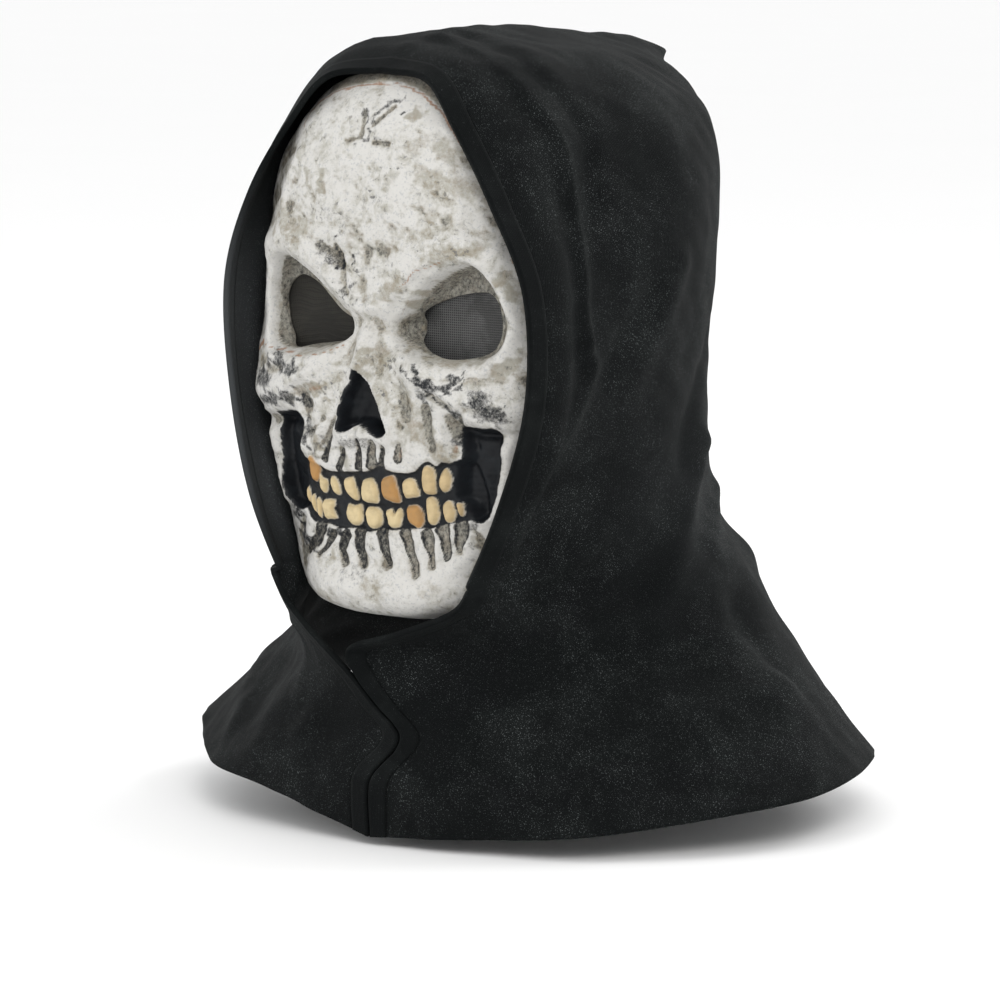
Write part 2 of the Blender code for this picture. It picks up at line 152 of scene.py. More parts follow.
STROKES = (
    Stroke("brow", ((4, -116), (13, -107), (22, -98), (34, -91), (48, -88), (60, -92)), 7, 4.5),
    Stroke("brow edge", ((8, -120), (12.4, -113), (22, -103), (30.7, -97), (40, -93.5), (49, -92),
                         (56, -96)), 2.2, 1.4),
    Stroke("socket outer edge", ((60, -99), (64, -110), (66.5, -122), (64, -134), (58, -141)),
                                 3.2, 2.2),
    Stroke("socket lower edge", ((56, -141.5), (44, -142), (28, -140.5), (16, -136)), 2.4, 1.7),
    Stroke("glabella", ((0, -102), (0, -114)), 8, 2.6),
    Stroke("glabella lip", ((-6, -116), (0, -118.5), (6, -116)), 2.4, 2.0),
    Stroke("nasal root", ((-3, -124), (3, -124)), 3.6, -2.4),
    Stroke("nose bridge", ((0, -127), (0, -133), (0, -141)), 5.5, 8.0),
    Stroke("nose edge", ((1, -141), (6.5, -151), (11.5, -161), (14.5, -170), (10.5, -174.2),
                         (0, -171.2)), 2.6, 2.8),
    Stroke("nose spine", ((0, -168), (0, -176)), 2.0, 2.6),
    Stroke("cheekbone", ((26, -144), (38, -148), (50, -154), (62, -157), (74, -158)), 8, 6.0),
    Stroke("cheekbone lower edge", ((22, -142.5), (30, -146), (40, -151), (45, -155.8), (50.6, -161.7),
                                    (56, -165), (67, -166.5)), 1.9, 1.7),
    Stroke("cheek notch", ((44, -168), (58, -170), (70, -172)), 3.6, -3.6),
    Stroke("canine pillar", ((27, -150), (26, -166), (28, -182)), 3.8, 2.0),
    Stroke("outer pillar", ((36.8, -160), (37, -180)), 3.0, 1.8),
    Stroke("jaw branch", ((65, -172), (63, -188), (58, -204)), 3.4, 4.5),
    Stroke("temple", ((66, -80), (60, -66), (52, -50)), 9, -3.4),
    Stroke("temple line", ((40, -52.6), (45, -62), (48, -72.5), (46.6, -81), (40, -88)), 3.0, 1.5),
    Stroke("forehead swell", ((18, -70), (20, -58)), 16, 1.8),
    Stroke("chin boss", ((14, -242), (26, -239)), 12, 3.0),
    Stroke("chin groove", ((0, -230), (24, -229)), 5, -1.2),
    Stroke("lower jaw side valley", ((46, -212), (50, -222), (46, -232)), 4.0, -2.0),
    Stroke("left groove", ((31.6, -158.3), (30.9, -166), (33, -176)), 2.2, -2.6, 2.0, Side.LEFT),
    Stroke("left outer groove", ((41.5, -162), (42.1, -170.6), (42.9, -177)),
                                 2.2, -2.8, 2.0, Side.LEFT),
    Stroke("left cheek curl", ((49.4, -158.3), (45.7, -162.6), (44.4, -169), (47, -175)),
                               1.8, -2.4, 2.0, Side.LEFT),
    Stroke("left fossa", ((21, -148), (22, -163)), 4.2, -1.8, 2.0, Side.LEFT),
    Stroke("left fossa upper", ((36, -153), (44, -157)), 2.6, -2.2, 2.0, Side.LEFT),
    Stroke("right groove", ((-31.6, -173.6), (-25.9, -168.7), (-23.2, -166)),
                            1.8, -2.0, 2.0, Side.RIGHT),
    Stroke("right inner groove", ((-26, -178.6), (-19.6, -170.7), (-15.7, -165.3)),
                                  1.8, -2.0, 2.0, Side.RIGHT),
    Stroke("right fossa", ((-30, -160), (-34, -156), (-27, -154)), 4.0, -1.8, 2.0, Side.RIGHT),
    Stroke("frown", ((-22.6, -91), (-18, -93.2), (-14.2, -96.2), (-11.9, -99.2), (-10.9, -104.3),
                     (-9.5, -110)), 2.4, -2.4, 2.0, Side.RIGHT),
    Stroke("frown upper", ((-15, -89.3), (-12.3, -93.7), (-11.9, -98)), 1.3, -1.6, 2.0, Side.RIGHT),
    Stroke("frown left", ((3, -92), (0, -101), (-1, -108)), 2.4, -0.9, 2.0, Side.LEFT),
    Stroke("crown crack", ((-3, -32), (-2, -37), (-2, -42)), 1.3, -1.3, 2.0, Side.RIGHT),
    Stroke("crown crack upper", ((3, -38), (7, -34), (11, -30)), 1.1, -1.2, 2.0, Side.LEFT),
    Stroke("brow crack right", ((-10, -45), (-3, -43.5)), 1.0, -1.1, 2.0, Side.RIGHT),
    Stroke("brow crack left", ((5, -45.5), (13, -45.5)), 1.0, -1.1, 2.0, Side.LEFT),
)

# The hollows between the teeth's roots, above and below the bite
ROOTS = (
    Stroke("upper root a", ((-20.2, -174.1), (-22.2, -179.1), (-23.8, -183.8)), 1.5, -2.0),
    Stroke("upper root b", ((-13.8, -179.1), (-13.9, -182.6), (-16.6, -187.7)), 1.7, -2.2),
    Stroke("upper root c", ((-3.4, -174.1), (-3.7, -179.5), (-4.9, -186.1)), 1.7, -2.0),
    Stroke("upper root d", ((4.3, -174.1), (2.7, -180.1), (2.1, -185.1)), 2.2, -1.6),
    Stroke("upper root e", ((8.9, -176.1), (7.7, -180.6), (6.9, -184.6)), 1.6, -1.8),
    Stroke("upper root f", ((17.1, -175.5), (16.1, -181.1)), 1.9, -1.5),
    Stroke("lower root a", ((-16.4, -218.1), (-19.4, -224.5), (-17, -229.7)), 2.4, -2.8),
    Stroke("lower root b", ((-8.4, -216.2), (-9, -222.6), (-7.1, -229.9)), 2.8, -3.0),
    Stroke("lower root c", ((3.7, -215.2), (4.4, -221.7), (6.2, -228.4)), 2.9, -3.0),
    Stroke("lower root d", ((15.7, -214.7), (17.7, -223), (21.1, -232.4)), 2.4, -3.0),
    Stroke("lower root e", ((26.4, -214), (26.8, -220.3), (28.3, -228.1)), 2.2, -2.6),
    Stroke("lower root f", ((33.3, -212), (34, -218.2), (34.6, -224.3)), 2.6, -2.4),
    Stroke("lower root g", ((41.3, -209.5), (40.4, -216.1), (39.2, -221.2)), 2.5, -2.2),
    Stroke("lower root h", ((-24.1, -218), (-28.8, -223.7), (-34.1, -228.3)), 1.7, -2.0),
    Stroke("lower root i", ((-32.1, -215.9), (-34.9, -221.5), (-42.9, -227.1)), 3.0, -2.0),
)
BITE_LEVEL = -202.0
OLIVE_ROOTS = ("upper root d", "upper root f", "lower root d", "lower root e", "lower root f", "lower root g")

SOCKET_RIM = ((10, -122), (15.5, -117), (22, -110), (29, -103.5), (37, -98.5), (45, -95), (51, -94.5),
              (56, -99), (60.5, -107), (63.5, -116), (64.5, -126), (61, -135), (52, -140), (40, -139.5),
              (26, -138), (16, -134), (10, -129))
EYE_HOLE = ((16, -125.3), (18, -119.8), (23, -115.4), (31, -112), (43, -109.4), (51, -109.3),
            (55.5, -113.5), (57.5, -121), (56.5, -129), (51, -135.5), (41, -137.6), (29, -136),
            (21.5, -133.2), (17.2, -129.8))
RIGHT_EYE_HOLE = ((-13, -127.5), (-20, -124.5), (-27.9, -120.8), (-34.5, -114.8), (-39.9, -109.8),
                  (-46, -106.6), (-50.9, -106), (-55.4, -108.8), (-58.4, -115), (-58.6, -122.3),
                  (-57, -130), (-52.5, -136), (-46.7, -137.4), (-37.9, -135.5), (-29.1, -134.3),
                  (-20, -132.8), (-14.2, -130.4))
NOSE_HOLLOW = ((-4.8, -142.9), (-1.8, -142.1), (1.4, -143.3), (3.4, -147.3), (6.4, -152.9),
               (9.6, -159.2), (12.4, -166.7), (12.2, -170.9), (8.7, -172.5), (4.7, -171.1), (1.6, -169),
               (-1.8, -167.7), (-5.4, -168.5), (-7.8, -170.5), (-11.4, -172.1), (-15, -170.7),
               (-15.4, -165.7), (-12.4, -156.7), (-8.4, -148.7))
LEFT_HOLLOW = ((43, -167), (47, -165.4), (55, -166.3), (60, -166.2), (61, -172.4), (60.5, -180.4),
               (58.8, -190.2), (57, -197.8), (54, -205.1), (50, -208.8), (45.5, -208.2), (43.5, -203.5),
               (40, -199.4), (38.8, -195.6), (40.5, -184.7), (42.5, -181.2), (44.5, -178.5),
               (43.8, -173))
RIGHT_HOLLOW = ((-56.4, -166.5), (-48.4, -164.6), (-40.4, -163.6), (-35.9, -165), (-34.6, -170),
                (-37.4, -177.9), (-37.9, -182.5), (-36.9, -188), (-39.4, -198), (-40.4, -207),
                (-48.4, -210), (-55.4, -206), (-58.8, -198), (-58.8, -186), (-57.9, -174))
GUM_BAND = ((-37, -185.1), (-28.7, -187.8), (-23.2, -189.2), (-15.2, -189.1), (-8.3, -188.6),
            (-1, -187.6), (5.2, -185.6), (11.2, -186.6), (18, -187.7), (22.7, -186.3), (27.2, -183.3),
            (30.3, -181.5), (33.3, -183.5), (36.6, -181.7), (39.8, -182.2), (44.8, -180.7),
            (48.8, -189.1), (48.8, -206.1), (42.3, -207.6), (36.3, -209.5), (30, -211.1),
            (23.5, -212.1), (16.6, -212.7), (9.6, -213.7), (3.7, -213.5), (-3, -215.2), (-11.9, -214.7),
            (-21.4, -215.1), (-31.7, -213.5), (-38.2, -212.9), (-43.2, -207.1), (-43.2, -189.1))

UPPER_TEETH = (
    Tooth("upper 1", ((-34.7, -184.1), (-31.5, -183.9), (-29.2, -186.9), (-29.2, -190.3),
                      (-31.2, -194.5), (-34.2, -195.3), (-35.8, -192.5), (-36.1, -188.1)), 0.85),
    Tooth("upper 2", ((-29.8, -191.7), (-28, -193.1), (-25.4, -193.9), (-25.8, -197.5), (-27.4, -199.9),
                      (-30, -199.3), (-30.8, -195.7)), 0.3),
    Tooth("upper 3", ((-23.1, -192.5), (-20.7, -191.9), (-18.7, -194.4), (-18, -197.1), (-18.4, -199.9),
                      (-21.6, -199.6), (-23.4, -196.1)), 0.3),
    Tooth("upper 4", ((-15, -192.9), (-12.2, -191.5), (-9.4, -191.4), (-8.6, -195), (-7.7, -198.9),
                      (-8.5, -201.7), (-12, -200.9), (-14.8, -197.1)), 0.35),
    Tooth("upper 5", ((-4.8, -193), (-1.6, -191.1), (1.3, -191.4), (3, -194), (3.7, -197.9),
                      (3.1, -201.7), (-1.2, -202.1), (-5.4, -201.5), (-6.1, -197.7)), 0.2),
    Tooth("upper 6", ((6.2, -191.1), (9.4, -189.4), (12.8, -189.1), (13.8, -193.6), (14.2, -197.5),
                      (13.7, -201.1), (9.4, -200.9), (5.9, -199), (5.4, -194.5)), 0.9),
    Tooth("upper 7", ((16.7, -191.3), (20, -189.6), (22.6, -190.4), (23.8, -193.6), (24.1, -197.3),
                      (20.4, -198.3), (16.9, -198.6), (15.9, -194.1)), 0.4),
    Tooth("upper 8", ((26.8, -186.4), (28.6, -183.9), (30.9, -183.7), (32.4, -186.3), (32.3, -191.1),
                      (31.7, -195.7), (28.8, -196.6), (26.1, -195.3), (25.8, -190.5)), 0.45),
    Tooth("upper 9", ((34.2, -188.3), (36, -185.2), (38, -184.4), (39.1, -187.5), (39, -191.1),
                      (37.3, -194.4), (34.8, -195.1), (33.4, -192.3)), 0.45),
)
LOWER_TEETH = (
    Tooth("lower 1", ((-41.1, -197.9), (-39.3, -198.5), (-38.3, -201.5), (-38.3, -205.3),
                      (-40.1, -204.9), (-41.7, -201.5)), 0.4),
    Tooth("lower 2", ((-37.6, -202.1), (-35.3, -201.4), (-34.8, -205.7), (-35, -209.5), (-36.6, -208.7),
                      (-37.9, -205.1)), 0.35),
    Tooth("lower 3", ((-33.9, -202.8), (-31.7, -203.1), (-31.1, -206.7), (-32, -211.5), (-34, -210.5),
                      (-34.5, -206.4)), 0.35),
    Tooth("lower 4", ((-30.1, -203.8), (-26.5, -202.5), (-22.2, -202.7), (-22.4, -205.1),
                      (-23.8, -206.9), (-21.8, -210.7), (-26, -211.5), (-29.4, -211.5),
                      (-30.8, -207.5)), 0.28),
    Tooth("lower 5", ((-14.4, -203.6), (-10.9, -204), (-7, -203.1), (-6.3, -206.7), (-6.7, -211.1),
                      (-10.8, -213.1), (-14.4, -212), (-15.9, -208.1)), 0.25),
    Tooth("lower 6", ((-4.0, -204.6), (-0.4, -203.7), (3, -204.2), (4.2, -206.6), (3.6, -211.1),
                      (0, -213.5), (-3.4, -212.7), (-4.9, -207.8)), 0.25),
    Tooth("lower 7", ((6.2, -205.1), (9.5, -204.1), (10.5, -205.9), (12.4, -203.7), (14.5, -204),
                      (14.4, -207.8), (13, -211.5), (9.8, -212.5), (7, -211.5), (6.3, -208.1)), 0.25),
    Tooth("lower 8", ((16.9, -203.1), (19.5, -201.7), (22.8, -201.7), (24.6, -204.7), (24.8, -208.5),
                      (22.8, -211.7), (19.8, -210.9), (17.1, -208.5)), 0.8),
    Tooth("lower 9", ((26.6, -199.7), (28.2, -197.6), (30.5, -197.8), (31.9, -201.1), (32.2, -205.7),
                      (30.4, -209.5), (28.2, -210), (26.4, -207.9)), 0.4),
    Tooth("lower 10", ((33.8, -201.3), (35.6, -199.1), (37.7, -199.2), (38.8, -201.9), (39.1, -205.3),
                       (37.7, -208.2), (34.9, -208.4), (33.9, -205.1)), 0.42),
    Tooth("lower 11", ((39.7, -200.2), (41.2, -199.7), (42.4, -200.4), (42.7, -203), (42.3, -205.4),
                       (40.8, -205.6), (39.9, -203.4)), 0.5),
)

# The mask's painted edge, where the hood's hem lies on it
EDGE_LINE = ((-40, -40), (-41, -34), (-36.6, -29.2), (-26.2, -24.7), (-14.3, -22.4), (-4, -20.7),
             (7.5, -20.3), (15.2, -22.2), (22, -25.2), (28.4, -28.9), (35, -34), (42.9, -43.2),
             (51.2, -55.5), (58.8, -69.7), (64.5, -83.6), (68.4, -100.8), (70.8, -119.9),
             (72.9, -136.6))

INK = (
    Patch("right under eye", ((-58.5, -142.5), (-50.6, -143.1), (-41.8, -145.4), (-37.9, -144.7)),
                              3.1, 0.8),
    Patch("right cheek spot", ((-66.7, -151.3), (-58.4, -151.9)), 4.0, 0.8),
    Patch("right cheek lower", ((-62.8, -161.7), (-48.9, -158.8), (-38.5, -157.9), (-31.8, -159.4)),
                                2.7, 0.8),
    Patch("right hollow edge", ((-32.0, -169.3), (-36.1, -177.8)), 2.3, 0.75),
    Patch("left under eye", ((21.8, -141.5), (27.8, -143.8), (34.8, -147.9), (40.3, -149.3),
                             (45.4, -148.4)), 2.0, 0.85),
    Patch("left under eye corner", ((45.5, -144.4), (44.9, -148.3)), 1.8, 0.8),
    Patch("left fossa", ((32.3, -153.1), (40.5, -155.7), (45.0, -160.9)), 2.0, 0.85),
    Patch("left fossa side", ((45.7, -162.6), (43.6, -172.3)), 2.2, 0.8),
    Patch("left cheekbone", ((56.5, -153.5), (57.8, -158.1), (62.3, -160.5)), 4.0, 0.82),
    Patch("left cheekbone crack", ((49.5, -142.5), (49.5, -149.7)), 0.8, 0.8),
    Patch("upper roots", ((-14.7, -176.9), (-2.7, -174.8), (4.6, -175.3)), 2.3, 0.62),
    Patch("upper roots right", ((-24.1, -176.5), (-30.1, -181.8)), 2.3, 0.6),
    Patch("jaw right", ((-52.9, -211.1), (-47.9, -215.4), (-45.1, -222.3), (-36.8, -224.6)), 2.9, 0.85),
    Patch("jaw right inner", ((-26.7, -217.4), (-20.2, -216.0)), 1.6, 0.85),
    Patch("jaw left", ((43.2, -211.3), (45.6, -209.4)), 1.8, 0.7),
    Patch("chin under roots", ((-15.0, -234.2), (-6.0, -234.4)), 3.2, 0.5),
    Patch("chin", ((8.4, -246.0), (16.3, -247.2)), 4.5, 0.36),
    Patch("jaw left edge", ((42.5, -228.9), (40.3, -235.9)), 3.6, 0.3),
    Patch("crown crack", ((-1.1, -38.2), (-1.0, -34.4), (-2.7, -31.5)), 1.5, 0.72),
    Patch("crown crack upper", ((3.4, -34.9), (5.7, -30.4), (9.6, -28.5), (12.3, -26.9)), 1.3, 0.72),
    Patch("brow crack right", ((-7.2, -44.6), (-1.2, -43.4), (3.7, -41.8)), 1.1, 0.75),
    Patch("brow crack left", ((7.8, -44.6), (15.0, -44.5)), 1.0, 0.7),
    Patch("crown pit", ((15.3, -32.6),), 1.3, 1.0),
    Patch("frown wash", ((-22.6, -90.9), (-18.0, -93.2), (-14.2, -96.2)), 2.3, 0.72),
    Patch("frown", ((-14.4, -89.3), (-12.3, -93.7), (-11.9, -99.2)), 1.1, 1.0),
    Patch("frown low", ((-10.8, -102.6), (-10.3, -106.9), (-11.2, -113.4)), 0.7, 0.75),
    Patch("frown spot a", ((-24.7, -101.3),), 1.3, 0.9),
    Patch("frown spot b", ((-15.2, -105.4),), 0.9, 0.8),
    Patch("frown spot c", ((-5.8, -96.2),), 1.2, 0.9),
    Patch("frown spot d", ((-5.3, -106.4),), 2.0, 0.72),
    Patch("frown spot e", ((-3.8, -114.3),), 1.1, 0.6),
    Patch("frown spot f", ((-14.3, -99.2),), 1.3, 0.9),
    Patch("frown spot g", ((-13.7, -86.1),), 0.7, 0.8),
    Patch("forehead wash", ((-21.1, -74.0), (-7.9, -78.6), (-10.0, -84.0)), 4.0, 0.42),
    Patch("forehead marks", ((1.5, -72.7), (13.4, -67.5)), 2.3, 0.42),
    Patch("forehead left marks", ((34.5, -85.9), (48.8, -76.1)), 3.6, 0.3),
)

WASHES = (
    Patch("crown spots", ((20.5, -33.0), (25.1, -33.8)), 2.0, 0.95),
    Patch("right temple streak", ((-20.7, -58.4), (-21.2, -66.5)), 2.3, 0.9),
    Patch("right temple streak outer", ((-30.4, -58.9), (-29.9, -63.7)), 2.3, 0.8),
    Patch("right temple edge", ((-48.7, -74.0), (-41.6, -86.0)), 3.1, 0.7),
    Patch("right temple inner", ((-32.5, -81.8), (-35.5, -87.3)), 3.4, 0.8),
    Patch("right temple low", ((-52.6, -85.7),), 2.3, 0.8),
    Patch("left forehead", ((36.7, -45.6), (42.0, -50.5)), 3.8, 0.75),
    Patch("left forehead band", ((31.3, -58.3), (43.3, -61.4), (50.6, -64.0)), 4.3, 0.7),
    Patch("left forehead upper", ((21.9, -46.8), (28.7, -45.3)), 3.1, 0.6),
    Patch("left forehead edge", ((54.9, -63.0), (56.7, -68.3)), 2.0, 0.8),
    Patch("left brow upper", ((35.9, -92.9), (48.8, -90.6), (56.7, -88.9)), 2.9, 0.75),
    Patch("left brow inner", ((8.4, -112.1), (19.7, -104.4)), 2.7, 0.75),
    Patch("left brow outer", ((62.5, -101.4), (66.4, -109.2)), 2.5, 0.9),
    Patch("brow tan spot", ((7.0, -87.9),), 1.3, 0.9),
    Patch("left socket upper", ((21.3, -114.9), (29.7, -109.3), (40.0, -104.3), (51.9, -105.4),
                                (58.5, -110.1)), 2.7, 0.9),
    Patch("left socket lower", ((21.4, -131.3), (32.3, -135.3), (43.3, -138.4)), 2.7, 0.8),
    Patch("right socket lower", ((-43.4, -136.8), (-30.2, -137.3), (-19.0, -135.5)), 2.0, 0.6),
    Patch("right socket side", ((-55.7, -115.1), (-58.0, -128.6)), 2.3, 0.4),
    Patch("nose side", ((1.8, -135.9), (2.5, -144.6)), 2.7, 0.9),
    Patch("nose side low", ((8.7, -146.3), (11.7, -153.9)), 3.1, 0.6),
    Patch("left maxilla", ((21.9, -153.5), (24.3, -161.0), (25.7, -169.7)), 4.0, 0.8),
    Patch("left maxilla inner", ((18.1, -168.6), (18.7, -177.0)), 3.1, 0.6),
    Patch("left maxilla low", ((31.4, -166.1), (34.5, -175.7), (38.3, -180.5)), 3.6, 0.8),
    Patch("left socket floor", ((23.1, -132.4), (38.1, -135.5), (54.2, -138.5)), 2.3, 0.75),
    Patch("left cheek outer", ((62.5, -142.3), (66.7, -138.5)), 2.9, 0.9),
    Patch("right nostril", ((-30.3, -153.6), (-23.7, -152.3)), 2.2, 1.0),
    Patch("right maxilla", ((-29.0, -173.5), (-26.1, -180.7)), 2.2, 0.9),
    Patch("chin left", ((-0.2, -240.5),), 6.3, 0.6),
    Patch("chin right", ((-35.5, -245.3), (-26.8, -246.7)), 3.6, 0.6),
    Patch("chin side", ((29.4, -239.3),), 5.4, 0.55),
    Patch("nasal root", ((2.9, -125.5), (11.2, -125.1)), 2.7, 0.5),
)

RUSTS = (
    Patch("right eye corner", ((-68.0, -135.6), (-74.8, -140.9)), 1.3, 1.0),
    Patch("right socket line", ((-64.3, -137.3), (-48.3, -138.7), (-38.7, -139.3), (-30.0, -138.9),
                                (-21.1, -137.1), (-14.2, -133.8)), 0.4, 0.9),
    Patch("left socket line", ((19.3, -107.0), (28.5, -99.1), (41.0, -94.6)), 0.4, 0.8),
    Patch("left socket inner line", ((12.6, -120.6), (21.2, -112.2), (34.2, -107.1), (47.9, -105.0),
                                     (56.4, -108.4)), 0.4, 0.5),
    Patch("right hole line", ((-47.9, -111.8), (-40.9, -105.4), (-31.7, -104.3)), 0.4, 0.4),
    Patch("nostril brown", ((-29.6, -154.2), (-23.7, -152.3)), 1.6, 0.6),
    Patch("root brown", ((18.3, -176.9), (17.0, -180.5)), 1.3, 0.6),
    Patch("left root brown", ((42.0, -174.4), (41.8, -177.0)), 1.1, 0.6),
)

HOOD_ROWS = (
    HoodRow((1.8, -103, -349), (108, -70, -341), 10, (162, 14, -330), (160, -322)),
    HoodRow((1.8, -104, -327), (92, -72, -320), 9, (141, 16, -300), (142, -303)),
    HoodRow((9.0, -102, -300), (74, -72, -296), 7, (118, 15, -268), (121, -267)),
    HoodRow((29, -101, -276), (60, -72, -270), 6, (102, 11, -240), (105, -234)),
    HoodRow((44, -101, -247), (56, -73, -242), 5, (91, 6, -220), (95, -211)),
    HoodRow((65.5, -101, -204), (67, -69, -203), 5, (88, 4, -192), (90, -187)),
    HoodRow((79, -98, -156), (82, -63, -158), 5, (89, 4, -150), (90, -151)),
    HoodRow((79.8, -100, -108), (82, -59, -112), 5, (91, 5, -108), (96, -109)),
    HoodRow((64, -103, -69), (77, -56, -77), 5, (91, 8, -68), (99, -69)),
    HoodRow((43, -101, -37), (70, -54, -42), 5, (78, 10, -36), (105, -43)),
    HoodRow((26, -97, -18), (46, -50, -12), 5, (46, 12, -12), (117, -30)),
    HoodRow((0, -93, -15), (0, -49, 1.0), 5, (0, 14, 0), (131, -14)),
)

# Height, then how far across the wearer's right and left front edges are
FRONT_EDGES = (
    (-349, -0.6, 0.6), (-329, -0.6, 0.6), (-322, 1, 2.2), (-316, 6, 7.2), (-309, 13, 14.2), (-303, 15, 16.2),
    (-298, 11, 12.2), (-292, 3, 4.2), (-280, -10, -8.6), (-268, -25, -14), (-259, -36, 12), (-247, -48, 42),
    (-235, -55, 52),
)

FOLDS = (
    Fold("crown puff", ((0, -66, 2), (34, -68, -6), (62, -72, -28)), 14, 4.0),
    Fold("ridge behind the rim", ((12, -43, -1), (31, -49, -6), (50, -54, -15), (61, -49, -24),
                                  (68, -46, -34), (74, -45, -46), (77, -47, -58), (79, -48, -74)),
                                  6, 2.4),
    Fold("crease at the shell", ((5, -57, -2), (25, -63, -7), (44, -67, -15), (54, -65, -24),
                                 (63, -62, -34), (71, -61, -45), (76, -60, -70), (81, -61, -99),
                                 (84, -63, -130)), 4.2, -3.2, 1.5),
    Fold("pinch", ((84, -64, -128), (85, -60, -138)), 5, -3.0),
    Fold("fold below the pinch", ((84, -57, -142), (83, -66, -160), (81, -80, -179), (72, -86, -199),
                                  (66, -90, -214)), 5, -2.6),
    Fold("side ridge", ((91, -17, -111), (88, -36, -129), (85, -48, -147)), 6, 2.4),
    Fold("side valley", ((92, 4, -100), (90, -14, -128), (87, -28, -150)), 7, -1.8),
    Fold("crease below the jaw", ((75, -38, -220), (62, -63, -233), (50, -90, -250), (34, -97, -262)),
                                  5, -3.6),
    Fold("swag valley", ((46, -93, -254), (57, -65, -258), (73, -43, -262), (89, -20, -256),
                         (93, -8, -243), (91, 3, -224), (88, 13, -205), (83, 30, -182)), 8, -5.5, 1.7),
    Fold("swag roll", ((52, -88, -238), (72, -56, -246), (86, -24, -238), (90, -2, -215)), 10, 3.5),
    Fold("cowl roll", ((50, -92, -276), (80, -50, -284), (104, -10, -274), (110, 30, -250)), 12, 4.0),
    Fold("back ridge", ((78, 48, -135), (83, 30, -152), (87, 14, -177), (87, 11, -191)), 6, 2.2),
    Fold("nape fold", ((70, 60, -208), (92, 23, -230)), 6, -3.0),
    Fold("shoulder valley", ((107, -51, -312), (114, -32, -298), (136, 26, -287)), 10, -5.0),
    Fold("shoulder ridge", ((112, 24, -258), (122, 28, -272), (134, 33, -286)), 8, 2.6),
    Fold("chest valley left", ((26, -102, -304), (20, -102, -325), (27, -101, -338), (32, -101, -350)),
                               7, -4.0),
    Fold("chest roll left", ((46, -99, -296), (50, -98, -330), (56, -96, -350)), 12, 3.0),
    Fold("chest valley right", ((8, -102, -300), (-8, -101, -313), (-30, -101, -340)), 7, -4.5),
    Fold("chest roll right", ((-14, -104, -292), (-34, -104, -318), (-52, -100, -346)), 9, 4.0),
    Fold("chest fold right", ((-15, -99, -278), (-32, -94, -292), (-46, -90, -310)), 5, -2.4),
    Fold("crease at the shell right", ((-25, -63, -7), (-44, -67, -15), (-63, -62, -34),
                                       (-71, -61, -45), (-76, -60, -70), (-81, -61, -99),
                                       (-84, -63, -130)), 4.5, -2.4, 1.5),
    Fold("right swag", ((-46, -93, -256), (-73, -43, -264), (-92, -8, -246), (-88, 30, -200)),
                        9, -5.0, 1.7),
    Fold("right cowl roll", ((-50, -90, -278), (-84, -46, -284), (-108, 0, -270), (-104, 46, -248)),
                             12, 3.5),
    Fold("right shoulder valley", ((-100, -56, -316), (-120, -10, -300), (-124, 50, -296)), 11, -4.5),
    Fold("back nape valley", ((-60, 98, -238), (0, 112, -252), (48, 104, -246), (78, 74, -240)),
                              13, -4.5),
    Fold("back cape roll", ((-70, 110, -286), (-20, 136, -292), (30, 136, -290)), 14, 3.5),
    Fold("back drop left", ((34, 92, -90), (28, 90, -150), (24, 92, -205)), 9, -1.8),
    Fold("back drop right", ((-40, 84, -100), (-34, 86, -150), (-30, 90, -200)), 9, -1.8),
)


def spline(points: Sequence | Array, samples: Sequence[float] | Array) -> Array:
    """Follow a smooth curve through control points.

    Args:
        points: Control points along the first axis.
        samples: Places on the curve, where a whole number is a control point.

    Returns:
        The curve's points at those places.
    """
    knots = np.asarray(points, float)
    padded = np.concatenate([(2 * knots[0] - knots[1])[None], knots, (2 * knots[-1] - knots[-2])[None]])
    at = np.clip(np.asarray(samples, float), 0, len(knots) - 1)
    index = np.minimum(at.astype(int), len(knots) - 2)
    t = (at - index).reshape((-1,) + (1,) * (knots.ndim - 1))
    a, b, c, d = (padded[index + k] for k in range(4))
    return 0.5 * (2 * b + (c - a) * t + (2 * a - 5 * b + 4 * c - d) * t**2 + (3 * b - a - 3 * c + d) * t**3)


def smooth_step(value: Array) -> Array:
    """Rise smoothly from 0 to 1 as the value does."""
    t = np.clip(value, 0, 1)
    return t * t * (3 - 2 * t)


def line_distance(points: Array, route: Sequence | Array) -> Array:
    """Measure how far points lie from a chain of straight stretches.

    Args:
        points: The points, one a row.
        route: The corners of the chain, or one lone point.

    Returns:
        One distance for each point.
    """
    line = np.asarray(route, float)
    nearest = np.linalg.norm(points - line[0], axis=1)
    for start, end in zip(line[:-1], line[1:]):
        along = end - start
        share = np.clip((points - start) @ along / (along @ along), 0, 1)
        nearest = np.minimum(nearest, np.linalg.norm(points - start - share[:, None] * along, axis=1))
    return nearest


def closed_outline(corners: Sequence, per_corner: int = 6) -> Array:
    """Draw a smooth closed outline through its corners.

    Args:
        corners: The corners (x, z), in order.
        per_corner: How many points each stretch gets.

    Returns:
        The outline's points.
    """
    ring = np.asarray(tuple(corners) + tuple(corners[:1]), float)
    around = np.concatenate([ring[-3:-1], ring, ring[1:3]])
    return spline(around, 2 + np.arange(len(corners) * per_corner) / per_corner)


def outline_depth(points: Array, outline: Array) -> Array:
    """Measure how deep points lie inside a closed outline.

    Args:
        points: Points (x, z).
        outline: The closed outline.

    Returns:
        The depth of each point, negative outside.
    """
    ring = np.concatenate([outline, outline[:1]])
    x, z = points[:, 0], points[:, 1]
    inside = np.zeros(len(points), bool)
    for (x0, z0), (x1, z1) in zip(ring[:-1], ring[1:]):
        crosses = (z0 > z) != (z1 > z)
        level = x0 + (z - z0) * (x1 - x0) / (z1 - z0 if z1 != z0 else 1e-9)
        inside ^= crosses & (x < level)
    return np.where(inside, 1, -1) * line_distance(points, ring)


